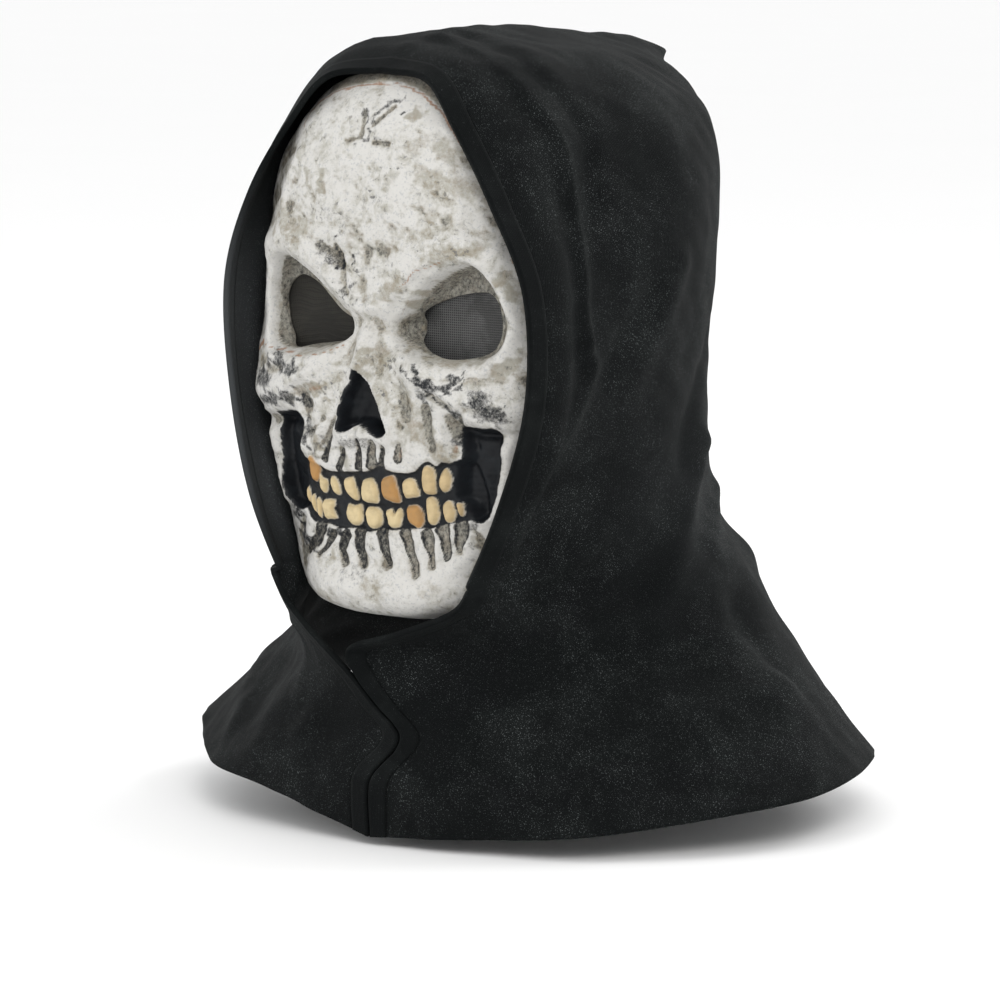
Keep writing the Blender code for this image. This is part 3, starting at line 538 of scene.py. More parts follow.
def eye_hole(side: int) -> Array:
    """Draw the outline of one eye hole, for the wearer's side given as the sign of X."""
    return closed_outline(EYE_HOLE if side > 0 else RIGHT_EYE_HOLE, 12)


def soft_noise(points: Array, size: float, seed: int) -> Array:
    """Make smooth noise from a few waves that run in fixed directions.

    Args:
        points: Points in millimetres, one a row.
        size: The rough size of its lumps, in millimetres.
        seed: Which pattern to make.

    Returns:
        One value for each point, mostly between -1 and 1.
    """
    made = np.random.default_rng(seed)
    total = np.zeros(len(points))
    for _ in range(NOISE_WAVES):
        direction = made.normal(size=points.shape[1])
        direction /= np.linalg.norm(direction)
        pitch = size * made.uniform(0.7, 1.6)
        total += np.sin(points @ direction * 2 * math.pi / pitch + made.uniform(0, 2 * math.pi))
    return total / math.sqrt(NOISE_WAVES)


def blurred(grid: Array, reach: int) -> Array:
    """Average a grid over a square of cells.

    Args:
        grid: Values[row, column].
        reach: How many cells to each side the square goes.

    Returns:
        The averaged grid.
    """
    out = grid
    for axis in (0, 1):
        padded = np.pad(out, [(reach, reach) if k == axis else (0, 0) for k in (0, 1)], mode="edge")
        sums = np.cumsum(np.insert(padded, 0, 0, axis=axis), axis=axis)
        high = np.take(sums, np.arange(2 * reach + 1, sums.shape[axis]), axis=axis)
        low = np.take(sums, np.arange(0, sums.shape[axis] - 2 * reach - 1), axis=axis)
        out = (high - low) / (2 * reach + 1)
    return out


def select_only(piece: bpy.types.Object) -> None:
    """Make one object the only selected one, and the active one.

    Args:
        piece: The object to select.
    """
    bpy.ops.object.select_all(action="DESELECT")
    piece.select_set(True)
    bpy.context.view_layer.objects.active = piece


def apply_modifiers(piece: bpy.types.Object) -> None:
    """Apply every modifier of a piece, in order.

    Args:
        piece: The object whose modifiers are applied.
    """
    select_only(piece)
    for modifier in list(piece.modifiers):
        bpy.ops.object.modifier_apply(modifier=modifier.name)


def grid_piece(name: str, points: Array, plan: Array | None = None) -> bpy.types.Object:
    """Model a sheet: a grid primitive, shaped to points[row, column].

    Args:
        name: The new object's name.
        points: Where the grid's points go, in millimetres.
        plan: The sheet's own flat coordinates, in millimetres, for its pattern.

    Returns:
        The new object.
    """
    rows, columns = points.shape[:2]
    bpy.ops.object.select_all(action="DESELECT")
    bpy.ops.mesh.primitive_grid_add(x_subdivisions=columns - 1, y_subdivisions=rows - 1, size=1)
    piece = bpy.context.active_object
    piece.name = name
    mesh = piece.data
    mesh.name = name
    mesh.vertices.foreach_set("co", (points.reshape(-1, 3) * MM).ravel())
    if plan is not None:
        corner = np.empty(len(mesh.loops), int)
        mesh.loops.foreach_get("vertex_index", corner)
        mesh.uv_layers.active.data.foreach_set("uv", plan.reshape(-1, 2)[corner].ravel())
    mesh.update()
    return piece


def set_attribute(piece: bpy.types.Object, name: str, values: Array) -> None:
    """Store one number for each point of a piece, for its material to read."""
    made = piece.data.attributes.new(name, "FLOAT", "POINT")
    made.data.foreach_set("value", values.ravel().astype(np.float32))


def merge_close_points(piece: bpy.types.Object) -> None:
    """Merge points of a piece that lie on each other.

    Args:
        piece: The object whose doubled points are merged.
    """
    select_only(piece)
    bpy.ops.object.mode_set(mode="EDIT")
    bpy.ops.mesh.select_all(action="SELECT")
    bpy.ops.mesh.remove_doubles(threshold=1e-6)
    bpy.ops.object.mode_set(mode="OBJECT")


def add_wall(piece: bpy.types.Object, thickness: float, offset: float) -> None:
    """Give a sheet its thickness in millimetres and apply it.

    Args:
        piece: The sheet.
        thickness: The wall's thickness, in millimetres.
        offset: Which side the wall grows to, from -1 to 1.
    """
    wall = piece.modifiers.new("Wall", "SOLIDIFY")
    wall.thickness = thickness * MM
    wall.offset = offset
    wall.use_even_offset = False
    apply_modifiers(piece)


class Nodes:
    """Adds, sets and joins the nodes of one shader tree."""

    def __init__(self, tree: bpy.types.NodeTree) -> None:
        """Work on a tree."""
        self.tree = tree

    def add(self, kind: str, settings: dict | None = None, **inputs: object) -> bpy.types.Node:
        """Add a node.

        Args:
            kind: The node's type, without its common start.
            settings: Properties of the node itself.
            inputs: Socket values, or the sockets that feed them, with spaces written as underscores.

        Returns:
            The new node.
        """
        node = self.tree.nodes.new("ShaderNode" + kind)
        for name, value in (settings or {}).items():
            setattr(node, name, value)
        for name, value in inputs.items():
            self.feed(node.inputs[name.replace("_", " ")], value)
        return node

    def feed(self, socket: bpy.types.NodeSocket, value: object) -> None:
        """Join a socket to another, or give it a value.

        Args:
            socket: The input to set.
            value: Another socket, or a plain value.
        """
        if isinstance(value, bpy.types.NodeSocket):
            self.tree.links.new(value, socket)
        else:
            socket.default_value = value

    def math(self, operation: str, first: object, second: object = 0.0,
             clamp: bool = False) -> bpy.types.NodeSocket:
        """Combine two numbers.

        Args:
            operation: What to do with them.
            first: A number or a socket.
            second: A number or a socket.
            clamp: Whether the result stays between 0 and 1.

        Returns:
            The result's socket.
        """
        node = self.add("Math", {"operation": operation, "use_clamp": clamp})
        self.feed(node.inputs[0], first)
        self.feed(node.inputs[1], second)
        return node.outputs[0]

    def mix(self, share: object, first: object, second: object) -> bpy.types.NodeSocket:
        """Mix two colours.

        Args:
            share: How much of the second colour.
            first: The first colour.
            second: The second colour.

        Returns:
            The mixed colour's socket.
        """
        node = self.add("Mix", {"data_type": "RGBA"})
        self.feed(node.inputs[0], share)
        self.feed(node.inputs[6], first)
        self.feed(node.inputs[7], second)
        return node.outputs[2]

    def ramp(self, value: object, low: float, high: float, start: float = 0.0,
             end: float = 1.0) -> bpy.types.NodeSocket:
        """Map a number smoothly from one range to another.

        Args:
            value: The number to map.
            low: Where its range starts.
            high: Where its range ends.
            start: What the range's start becomes.
            end: What the range's end becomes.

        Returns:
            The mapped number's socket.
        """
        node = self.add("MapRange", {"interpolation_type": "SMOOTHSTEP"}, Value=value, From_Min=low,
                        From_Max=high, To_Min=start, To_Max=end)
        return node.outputs[0]

    def group(self, tree: bpy.types.NodeTree, **inputs: object) -> bpy.types.Node:
        """Add a shared group and feed its inputs.

        Args:
            tree: The shared group.
            inputs: Its values, with spaces written as underscores.

        Returns:
            The group's node.
        """
        node = self.add("Group", {"node_tree": tree})
        for name, value in inputs.items():
            self.feed(node.inputs[name.replace("_", " ")], value)
        return node


def new_group(name: str, inputs: dict[str, float], outputs: Iterable[str]) -> tuple[Nodes, object, object]:
    """Start a shared shader group.

    Args:
        name: The group's name.
        inputs: Its number inputs and what each is at first; a place in space comes before them.
        outputs: Its number outputs.

    Returns:
        The group's nodes, its input node and its output node.
    """
    tree = bpy.data.node_groups.new(name, "ShaderNodeTree")
    tree.interface.new_socket("Place", in_out="INPUT", socket_type="NodeSocketVector")
    for title, value in inputs.items():
        made = tree.interface.new_socket(title, in_out="INPUT", socket_type="NodeSocketFloat")
        made.default_value = value
    for title in outputs:
        tree.interface.new_socket(title, in_out="OUTPUT", socket_type="NodeSocketFloat")
    return Nodes(tree), tree.nodes.new("NodeGroupInput"), tree.nodes.new("NodeGroupOutput")


class SharedEffects:
    """The shader groups that several finishes use."""

    def __init__(self) -> None:
        """Build each group once."""
        self.speckle = self.make_speckle()
        self.blotches = self.make_blotches()
        self.knit = self.make_knit()

    def make_speckle(self) -> bpy.types.NodeTree:
        """Scattered fine specks: Mask is 1 on a speck.

        Returns:
            The group.
        """
        nodes, start, end = new_group("fine speckle", {"Scale": 800.0, "Cover": 0.5, "Softness": 0.08},
                                      ("Mask",))
        noise = nodes.add("TexNoise", Vector=start.outputs["Place"], Scale=start.outputs["Scale"], Detail=2.5,
                          Roughness=0.65)
        low = nodes.math("SUBTRACT", 1.0, start.outputs["Cover"])
        high = nodes.math("ADD", low, start.outputs["Softness"])
        spread = nodes.add("MapRange", {"interpolation_type": "SMOOTHSTEP"}, Value=noise.outputs["Fac"],
                           From_Min=low, From_Max=high)
        nodes.feed(end.inputs["Mask"], spread.outputs[0])
        return nodes.tree

    def make_blotches(self) -> bpy.types.NodeTree:
        """Broad uneven weathering: Mask is 1 in a blotch, Height is its unevenness.

        Returns:
            The group.
        """
        nodes, start, end = new_group("weathered blotches", {"Scale": 60.0, "Low": 0.45, "High": 0.65},
                                      ("Mask", "Height"))
        broad = nodes.add("TexNoise", Vector=start.outputs["Place"], Scale=start.outputs["Scale"], Detail=6.0,
                          Roughness=0.68, Distortion=0.4)
        spread = nodes.add("MapRange", {"interpolation_type": "SMOOTHSTEP"}, Value=broad.outputs["Fac"],
                           From_Min=start.outputs["Low"], From_Max=start.outputs["High"])
        nodes.feed(end.inputs["Mask"], spread.outputs[0])
        nodes.feed(end.inputs["Height"], broad.outputs["Fac"])
        return nodes.tree

    def make_knit(self) -> bpy.types.NodeTree:
        """Jersey stitches: Height is the yarn's rise, Gap is 1 in the holes between stitches.

        Returns:
            The group.
        """
        nodes, start, end = new_group("jersey stitches", {"Wales": 1.2, "Courses": 1.2, "Waver": 0.35},
                                      ("Height", "Gap"))
        waver = nodes.add("TexNoise", Vector=start.outputs["Place"], Scale=0.12, Detail=2.0)
        split = nodes.add("SeparateXYZ", Vector=start.outputs["Place"])
        drift = nodes.math("MULTIPLY", waver.outputs["Fac"], start.outputs["Waver"])
        across = nodes.math("DIVIDE", nodes.math("ADD", split.outputs[0], drift), start.outputs["Wales"])
        along = nodes.math("DIVIDE", nodes.math("ADD", split.outputs[1], drift), start.outputs["Courses"])
        wale = nodes.math("ABSOLUTE", nodes.math("SINE", nodes.math("MULTIPLY", across, math.pi)))
        leg = nodes.math("ADD", along, nodes.math("MULTIPLY", wale, 0.55))
        course = nodes.math("ABSOLUTE", nodes.math("SINE", nodes.math("MULTIPLY", leg, math.pi)))
        height = nodes.math("MULTIPLY", nodes.math("POWER", wale, 0.6), nodes.math("POWER", course, 0.5))
        nodes.feed(end.inputs["Height"], height)
        nodes.feed(end.inputs["Gap"], nodes.ramp(height, 0.42, 0.12))
        return nodes.tree


def new_material(name: str) -> tuple[bpy.types.Material, Nodes, bpy.types.Node]:
    """Start a material.

    Args:
        name: The material's name.

    Returns:
        The material, its nodes and its shader.
    """
    made = bpy.data.materials.new(name)
    made.use_nodes = True
    return made, Nodes(made.node_tree), made.node_tree.nodes["Principled BSDF"]


def colour(red: float, green: float, blue: float) -> tuple[float, float, float, float]:
    """Make a solid colour from linear amounts."""
    return (red, green, blue, 1.0)


@dataclass(frozen=True)
class BonePaint:
    """Chalky bone paint over a moulded shell, with washes, dry-brushed black and painted teeth, and painted
    shade in the hollows and under the hem's rim.
    """

    chalk: tuple = colour(0.56, 0.55, 0.525)
    cool: tuple = colour(0.29, 0.305, 0.33)
    grey: tuple = colour(0.12, 0.12, 0.12)
    bare: tuple = colour(0.255, 0.24, 0.185)
    tan: tuple = colour(0.20, 0.16, 0.10)
    black: tuple = colour(0.008, 0.009, 0.011)
    blue_black: tuple = colour(0.012, 0.015, 0.018)
    rust: tuple = colour(0.26, 0.11, 0.04)
    cream: tuple = colour(0.58, 0.47, 0.275)
    amber: tuple = colour(0.40, 0.22, 0.08)

    def make(self, effects: SharedEffects) -> bpy.types.Material:
        """Build the material that the face's paint attributes drive.

        Args:
            effects: The shared shader groups.

        Returns:
            The material.
        """
        made, nodes, shader = new_material("bone paint")
        place = nodes.add("TexCoord").outputs["Object"]

        def amount(name: str) -> bpy.types.NodeSocket:
            """Read one paint attribute of the face."""
            return nodes.add("Attribute", {"attribute_name": name}).outputs["Fac"]

        fine = nodes.group(effects.speckle, Place=place, Scale=820.0, Cover=0.47, Softness=0.16)
        dots = nodes.group(effects.speckle, Place=place, Scale=340.0, Cover=0.40, Softness=0.05)
        broad = nodes.group(effects.blotches, Place=place, Scale=48.0, Low=0.42, High=0.60)
        worn = nodes.group(effects.blotches, Place=place, Scale=170.0, Low=0.40, High=0.66)
        ragged = nodes.add("TexNoise", Vector=place, Scale=520.0, Detail=4.0, Roughness=0.7)
        uneven = nodes.math("SUBTRACT", ragged.outputs["Fac"], 0.5)
        streaked = nodes.add("VectorMath", {"operation": "MULTIPLY"})
        nodes.feed(streaked.inputs[0], place)
        streaked.inputs[1].default_value = (1.0, 1.0, 0.75)
        brush = nodes.add("TexNoise", Vector=streaked.outputs[0], Scale=640.0, Detail=6.0, Roughness=0.8)
        brushed = nodes.math("SUBTRACT", brush.outputs["Fac"], 0.5)
        bone = nodes.mix(nodes.math("MULTIPLY", fine.outputs["Mask"], 0.5), self.chalk, self.cool)
        bone = nodes.mix(nodes.math("MULTIPLY", nodes.math("MULTIPLY", broad.outputs["Mask"],
                                                           worn.outputs["Mask"]), 0.75), bone, self.bare)
        # Painted shade: the hollows are stained tan by how deep they lie.
        stain_and_hollow_shade = nodes.math("MAXIMUM", amount("wash_and_shade"), nodes.math("MULTIPLY", amount("hollow_shade"), 0.95))
        wash_and_shade = nodes.math("ADD", stain_and_hollow_shade, nodes.math("MULTIPLY", uneven, 1.1))
        wash_and_shade_share = nodes.ramp(wash_and_shade, 0.22, 0.95)
        washed = nodes.mix(nodes.ramp(worn.outputs["Height"], 0.40, 0.66), self.bare, self.tan)
        bone = nodes.mix(nodes.math("MULTIPLY", wash_and_shade_share, 0.7), bone, washed)
        speck_share = nodes.math("MULTIPLY", dots.outputs["Mask"],
                                 nodes.ramp(broad.outputs["Height"], 0.40, 0.7))
        bone = nodes.mix(nodes.math("MULTIPLY", speck_share, 0.9), bone, self.grey)
        rust = nodes.math("ADD", amount("rust"), nodes.math("MULTIPLY", uneven, 0.9))
        bone = nodes.mix(nodes.math("MULTIPLY", nodes.ramp(rust, 0.35, 0.9), 0.75), bone, self.rust)
        cream = nodes.mix(nodes.ramp(amount("tone"), 0.25, 0.85), self.cream, self.amber)
        shaded_cream = nodes.mix(nodes.math("MULTIPLY", worn.outputs["Mask"], 0.28), cream, self.tan)
        painted = nodes.mix(amount("tooth"), bone, shaded_cream)
        # Painted shade: the grooves are inked darker.
        groove = nodes.math("MULTIPLY", nodes.ramp(amount("hollow_shade"), 0.4, 1.0), 0.6)
        inked_and_shaded = nodes.math("ADD", nodes.math("MAXIMUM", amount("ink_and_shade"), groove),
                           nodes.math("MULTIPLY", brushed, 1.7))
        solid = nodes.ramp(amount("ink_and_shade"), 0.86, 1.0)
        ink_and_shade_share = nodes.math("MAXIMUM", nodes.ramp(inked_and_shaded, 0.34, 0.98), solid)
        ink_and_shade = nodes.mix(nodes.math("MULTIPLY", worn.outputs["Mask"], 0.6), self.black, self.blue_black)
        nodes.feed(shader.inputs["Base Color"], nodes.mix(ink_and_shade_share, painted, ink_and_shade))
        roughness = nodes.ramp(ink_and_shade_share, 0.0, 1.0, 0.68, 0.45)
        nodes.feed(shader.inputs["Roughness"], roughness)
        grain = nodes.math("ADD", nodes.math("MULTIPLY", ragged.outputs["Fac"], 0.5),
                           nodes.math("MULTIPLY", worn.outputs["Height"], 0.9))
        bump = nodes.add("Bump", Strength=0.55, Distance=0.0007, Height=grain)
        nodes.feed(shader.inputs["Normal"], bump.outputs["Normal"])
        shader.inputs["Specular IOR Level"].default_value = 0.2
        return made


@dataclass(frozen=True)
class JerseyKnit:
    """Thin black jersey: fine stitches, with painted grey for the light that shows through where the knit is
    stretched, and painted glints.
    """

    name: str = "black jersey"
    dark: tuple = colour(0.0036, 0.0044, 0.0046)
    faded: tuple = colour(0.0085, 0.0100, 0.0100)
    glint: tuple = colour(0.15, 0.165, 0.165)
    # Painted light: the grey of light seen through the stretched knit.
    backlight_grey: tuple = colour(0.062, 0.066, 0.069)
    glint_cover: float = 0.39
    stitch: float = 0.9
    depth: float = 0.00025

    def make(self, effects: SharedEffects) -> bpy.types.Material:
        """Build the cloth's material, whose pattern follows the cloth's own flat coordinates.

        Args:
            effects: The shared shader groups.

        Returns:
            The material.
        """
        made, nodes, shader = new_material(self.name)
        flat = nodes.add("UVMap").outputs["UV"]
        place = nodes.add("TexCoord").outputs["Object"]
        knit = nodes.group(effects.knit, Place=flat, Wales=self.stitch, Courses=self.stitch, Waver=0.5)
        broad = nodes.group(effects.blotches, Place=place, Scale=26.0, Low=0.42, High=0.68)
        # Painted highlights: fine grey glint specks on the black cloth, spread by the blotch noise and
        # strongest where the painted backlight is.
        glint_specks = nodes.group(effects.speckle, Place=place, Scale=1900.0, Cover=self.glint_cover, Softness=0.05)
        cloth = nodes.mix(broad.outputs["Mask"], self.dark, self.faded)
        cloth = nodes.mix(nodes.math("MULTIPLY", knit.outputs["Gap"], 0.7), cloth, self.dark)
        # Painted light: grey where light shows through the stretched cloth.
        painted_backlight = nodes.add("Attribute", {"attribute_name": "painted_backlight"}).outputs["Fac"]
        cloth = nodes.mix(nodes.math("MULTIPLY", painted_backlight, 0.8), cloth, self.backlight_grey)
        glint_reach = nodes.math("MAXIMUM", painted_backlight, nodes.ramp(broad.outputs["Height"], 0.35, 0.75, 0.12, 0.9))
        share = nodes.math("MULTIPLY", glint_specks.outputs["Mask"], glint_reach)
        nodes.feed(shader.inputs["Base Color"], nodes.mix(share, cloth, self.glint))
        bump = nodes.add("Bump", Strength=0.6, Distance=self.depth, Height=knit.outputs["Height"])
        nodes.feed(shader.inputs["Normal"], bump.outputs["Normal"])
        shader.inputs["Roughness"].default_value = 0.72
        shader.inputs["Specular IOR Level"].default_value = 0.05
        shader.inputs["Sheen Weight"].default_value = 0.025
        shader.inputs["Sheen Roughness"].default_value = 0.45
        shader.inputs["Sheen Tint"].default_value = colour(0.75, 0.8, 0.8)
        return made


@dataclass(frozen=True)
class EyeNet:
    """Woven eye screen: a fine square mesh, or a denser one with wavy ribs; its thread colour is painted lit
    on one screen and shaded on the other, and its holes are painted near-black for the shaded inside behind
    them.
    """

    name: str
    thread: tuple
    # Painted shade: the near-black of the shaded inside, seen through the net's holes.
    hole: tuple
    pitch: float
    ribs: float
    rib_pitch: float = 2.6

    def make(self, effects: SharedEffects) -> bpy.types.Material:
        """Build the screen's material.

        Args:
            effects: The shared shader groups.

        Returns:
            The material.
        """
        made, nodes, shader = new_material(self.name)
        flat = nodes.add("UVMap").outputs["UV"]
        split = nodes.add("SeparateXYZ", Vector=flat)
        waver = nodes.add("TexNoise", Vector=flat, Scale=0.06, Detail=1.0)
        sway = nodes.math("MULTIPLY", waver.outputs["Fac"], 9.0 * self.ribs)
        threads = []
        for output in (0, 1):
            turn = nodes.math("MULTIPLY", nodes.math("ADD", split.outputs[output], sway),
                              2 * math.pi / self.pitch)
            threads.append(nodes.ramp(nodes.math("SINE", turn), -0.5, 0.9))
        weave = nodes.math("MAXIMUM", threads[0], threads[1])
        rise = nodes.math("MULTIPLY", nodes.math("ADD", split.outputs[1], sway), 2 * math.pi / self.rib_pitch)
        rib = nodes.math("SINE", rise)
        rib_share = nodes.math("MULTIPLY", nodes.ramp(rib, -0.2, 1.0), self.ribs)
        band = nodes.group(effects.blotches, Place=flat, Scale=0.05, Low=0.42, High=0.6)
        shade = nodes.mix(weave, self.hole, self.thread)
        shade = nodes.mix(rib_share, shade, self.thread)
        shade = nodes.mix(nodes.math("MULTIPLY", band.outputs["Mask"], 0.45), shade, self.hole)
        nodes.feed(shader.inputs["Base Color"], shade)
        bump = nodes.add("Bump", Strength=0.5, Distance=0.0003, Height=nodes.math("ADD", weave, rib_share))
        nodes.feed(shader.inputs["Normal"], bump.outputs["Normal"])
        shader.inputs["Roughness"].default_value = 0.8
        return made


@dataclass
class FaceShell:
    """The moulded skull face: a thin painted skin with its teeth, and the plain skin behind it."""

    thickness: float = 2.2
    socket_floor: float = -84.0
    socket_slope: float = 6.0
    nose_depth: float = 9.0
    nose_slope: float = 3.4
    cheek_depth: float = 7.0
    cheek_slope: float = 4.4
    tooth_relief: float = 3.0
    gum_depth: float = 2.4
    mouth_row: int = 4
    mouth_half_width: float = 50.0
    fine_step: float = 0.55
    side_columns: int = 30
    rows_between: tuple[int, ...] = (12, 13, 26, 38, 38, 30, 24, 20, 19, 22, 24, 18, 16)
    edge_zone: tuple[float, float] = (0.75, 0.2)
    outer: Array = field(init=False, repr=False)

    def columns(self, step: float) -> Array:
        """Angles of the skin's columns, closest together across the mouth.

        Args:
            step: How far apart they lie at the mouth, in millimetres.

        Returns:
            The angles, in radians from the middle.
        """
        side = FACE_ROWS[self.mouth_row].side_x
        count = int(2 * self.mouth_half_width / step) | 1
        inner = np.arcsin(np.linspace(-self.mouth_half_width, self.mouth_half_width, count) / side)
        beyond = np.linspace(inner[-1], math.pi / 2, int(self.side_columns * self.fine_step / step) + 1)[1:]
        return np.concatenate([-beyond[::-1], inner, beyond])

    def levels(self, share: float) -> Array:
        """Places of the skin's rows, from under the chin to over the forehead.

        Args:
            share: How many rows to make, as a share of the full count.

        Returns:
            The rows' places.
        """
        counts = [max(2, round(count * share)) for count in self.rows_between]
        places = [k + j / n for k, n in enumerate(counts) for j in range(n)]
        return np.array(places + [len(FACE_ROWS) - 1.0])

    def smooth_face(self, angles: Array, levels: Array) -> Array:
        """Shape the face before its forms are pressed in: points[level, column].

        Args:
            angles: The columns' angles.
            levels: The rows' places.

        Returns:
            The points, [level, column].
        """
        sine, cosine = np.sin(angles), np.abs(np.cos(angles))
        rows = []
        for row in FACE_ROWS:
            out = np.sign(sine) * np.abs(sine) ** (2 / row.square)
            front = cosine ** (2 / row.square)
            rows.append(np.column_stack([
                row.side_x * out,
                row.side_y + (row.mid_y - row.side_y) * front,
                row.mid_z + (row.side_z - row.mid_z) * sine**2,
            ]))
        return spline(np.array(rows), levels)

    def inward(self, base: Array, angles: Array, levels: Array) -> Array:
        """Find which way the shell's inner side lies, square to the face close to its edge.

        Args:
            base: The smooth face's points.
            angles: The columns' angles.
            levels: The rows' places.

        Returns:
            One unit direction for each point.
        """
        square_in = np.cross(np.gradient(base, axis=0), np.gradient(base, axis=1))
        square_in /= np.linalg.norm(square_in, axis=2)[:, :, None]
        from_middle = np.abs(angles) / (math.pi / 2)
        from_mouth = np.abs(2 * levels / (len(FACE_ROWS) - 1) - 1)
        near_edge = np.maximum(from_middle[None, :], from_mouth[:, None])
        share = smooth_step((near_edge - self.edge_zone[0]) / self.edge_zone[1])[:, :, None]
        way = share * square_in + (1 - share) * np.array([0.0, 1.0, 0.0])
        return way / np.linalg.norm(way, axis=2)[:, :, None]

    def stroke_lift(self, points: Array) -> Array:
        """Add up the raised and sunk lines of the face.

        Args:
            points: Points of the smooth face, one a row.

        Returns:
            How far forward each point moves, in millimetres.
        """
        half = np.column_stack([np.abs(points[:, 0]), points[:, 2]])
        whole = points[:, (0, 2)]
        lift = np.zeros(len(points))
        for stroke in STROKES + ROOTS:
            flat = half if stroke.side is Side.BOTH and stroke not in ROOTS else whole
            route = np.array(stroke.route, float)
            away = line_distance(flat, route) / stroke.width
            lift += stroke.height * np.exp(-(away**stroke.power))
        return lift

    def formed(self, points: Array, detail: bool = True) -> Array:
        """Press the face's forms into smooth points.

        Args:
            points: Points of the smooth face, one a row.
            detail: Whether the teeth and the fine unevenness are pressed in.

        Returns:
            The moved points.
        """
        x, z = points[:, 0], points[:, 2]
        half, whole = np.column_stack([np.abs(x), z]), np.column_stack([x, z])
        wander = whole + 0.15 * np.column_stack([soft_noise(whole, 7.0, 3), soft_noise(whole, 7.0, 4)])
        forward = self.stroke_lift(points)
        gum = smooth_step(outline_depth(whole, closed_outline(GUM_BAND)) / 3.0 + 0.5)
        forward -= self.gum_depth * gum
        if detail:
            for tooth in UPPER_TEETH + LOWER_TEETH:
                depth = outline_depth(whole, closed_outline(tooth.outline, 4))
                forward += self.tooth_relief * smooth_step((depth + 0.6) / 2.4) ** 0.8
        nose = outline_depth(wander, closed_outline(NOSE_HOLLOW, 3))
        forward -= self.nose_depth * smooth_step(nose / self.nose_slope)
        for outline in (LEFT_HOLLOW, RIGHT_HOLLOW):
            cheek = outline_depth(wander, closed_outline(outline))
            forward -= self.cheek_depth * smooth_step(cheek / self.cheek_slope)
        if detail:
            forward += 0.28 * soft_noise(points, 9.0, 11) + 0.14 * soft_noise(points, 3.2, 12)
        y = points[:, 1] - forward
        socket = smooth_step(outline_depth(half, closed_outline(SOCKET_RIM)) / self.socket_slope)
        shaped = points.copy()
        shaped[:, 1] = y + socket * (self.socket_floor - y)
        return shaped

    def fit_to_eye(self, points: Array) -> Array:
        """Move the points nearest the eye holes' edges onto them, so the holes cut clean.

        Args:
            points: The smooth face's points, [level, column].

        Returns:
            The points, some of them moved.
        """
        flat = points[:, :, (0, 2)].copy()
        for side in (-1, 1):
            outline = eye_hole(side)
            ring = np.concatenate([outline, outline[:1]])
            depth = outline_depth(flat.reshape(-1, 2), outline).reshape(flat.shape[:2])
            chosen = np.zeros(depth.shape, bool)
            for axis in (0, 1):
                ahead, behind = (depth[1:], depth[:-1]) if axis == 0 else (depth[:, 1:], depth[:, :-1])
                crossing = (ahead > 0) != (behind > 0)
                nearer = np.abs(ahead) < np.abs(behind)
                first = (slice(1, None), slice(None)) if axis == 0 else (slice(None), slice(1, None))
                second = (slice(None, -1), slice(None)) if axis == 0 else (slice(None), slice(None, -1))
                chosen[first] |= crossing & nearer
                chosen[second] |= crossing & ~nearer
            spots = flat[chosen]
            best, place = np.full(len(spots), np.inf), spots.copy()
            for start, end in zip(ring[:-1], ring[1:]):
                along = end - start
                share = np.clip((spots - start) @ along / (along @ along), 0, 1)
                foot = start + share[:, None] * along
                away = np.linalg.norm(spots - foot, axis=1)
                closer = away < best
                best[closer], place[closer] = away[closer], foot[closer]
            flat[chosen] = place
        moved = points.copy()
        moved[:, :, 0], moved[:, :, 2] = flat[:, :, 0], flat[:, :, 1]
        return moved

    def cut_eyes(self, piece: bpy.types.Object, flat: Array, wall: float) -> None:
        """Open the eye holes of a skin and turn their edges back.

        Args:
            piece: The skin.
            flat: Where its points are, (x, z) in millimetres.
            wall: How far the edges go back.
        """
        depth = np.maximum(outline_depth(flat, eye_hole(1)), outline_depth(flat, eye_hole(-1)))
        select_only(piece)
        mesh = piece.data
        bpy.ops.object.mode_set(mode="EDIT")
        bpy.ops.mesh.select_mode(type="VERT")
        bpy.ops.mesh.select_all(action="DESELECT")
        bpy.ops.object.mode_set(mode="OBJECT")
        mesh.vertices.foreach_set("select", np.abs(depth) < 0.02)
        bpy.ops.object.mode_set(mode="EDIT")
        bpy.ops.mesh.vert_connect()
        bpy.ops.mesh.select_all(action="DESELECT")
        bpy.ops.object.mode_set(mode="OBJECT")
        mesh.vertices.foreach_set("select", depth > 0.02)
        bpy.ops.object.mode_set(mode="EDIT")
        bpy.ops.mesh.delete(type="VERT")
        bpy.ops.object.mode_set(mode="OBJECT")
        near = np.empty(len(mesh.vertices) * 3)
        mesh.vertices.foreach_get("co", near)
        spots = near.reshape(-1, 3)[:, (0, 2)] / MM
        close = np.maximum(outline_depth(spots, eye_hole(1)), outline_depth(spots, eye_hole(-1))) > -0.05
        bpy.ops.object.mode_set(mode="EDIT")
        bpy.ops.mesh.select_non_manifold(extend=False, use_wire=False, use_multi_face=False,
                                         use_non_contiguous=False, use_verts=False)
        bpy.ops.object.mode_set(mode="OBJECT")
        chosen = np.empty(len(mesh.vertices), bool)
        mesh.vertices.foreach_get("select", chosen)
        mesh.polygons.foreach_set("select", np.zeros(len(mesh.polygons), bool))
        mesh.edges.foreach_set("select", np.zeros(len(mesh.edges), bool))
        mesh.vertices.foreach_set("select", chosen & close)
        bpy.ops.object.mode_set(mode="EDIT")
        bpy.ops.mesh.extrude_region_move(TRANSFORM_OT_translate={"value": (0, wall * MM, 0)})
        bpy.ops.object.mode_set(mode="OBJECT")

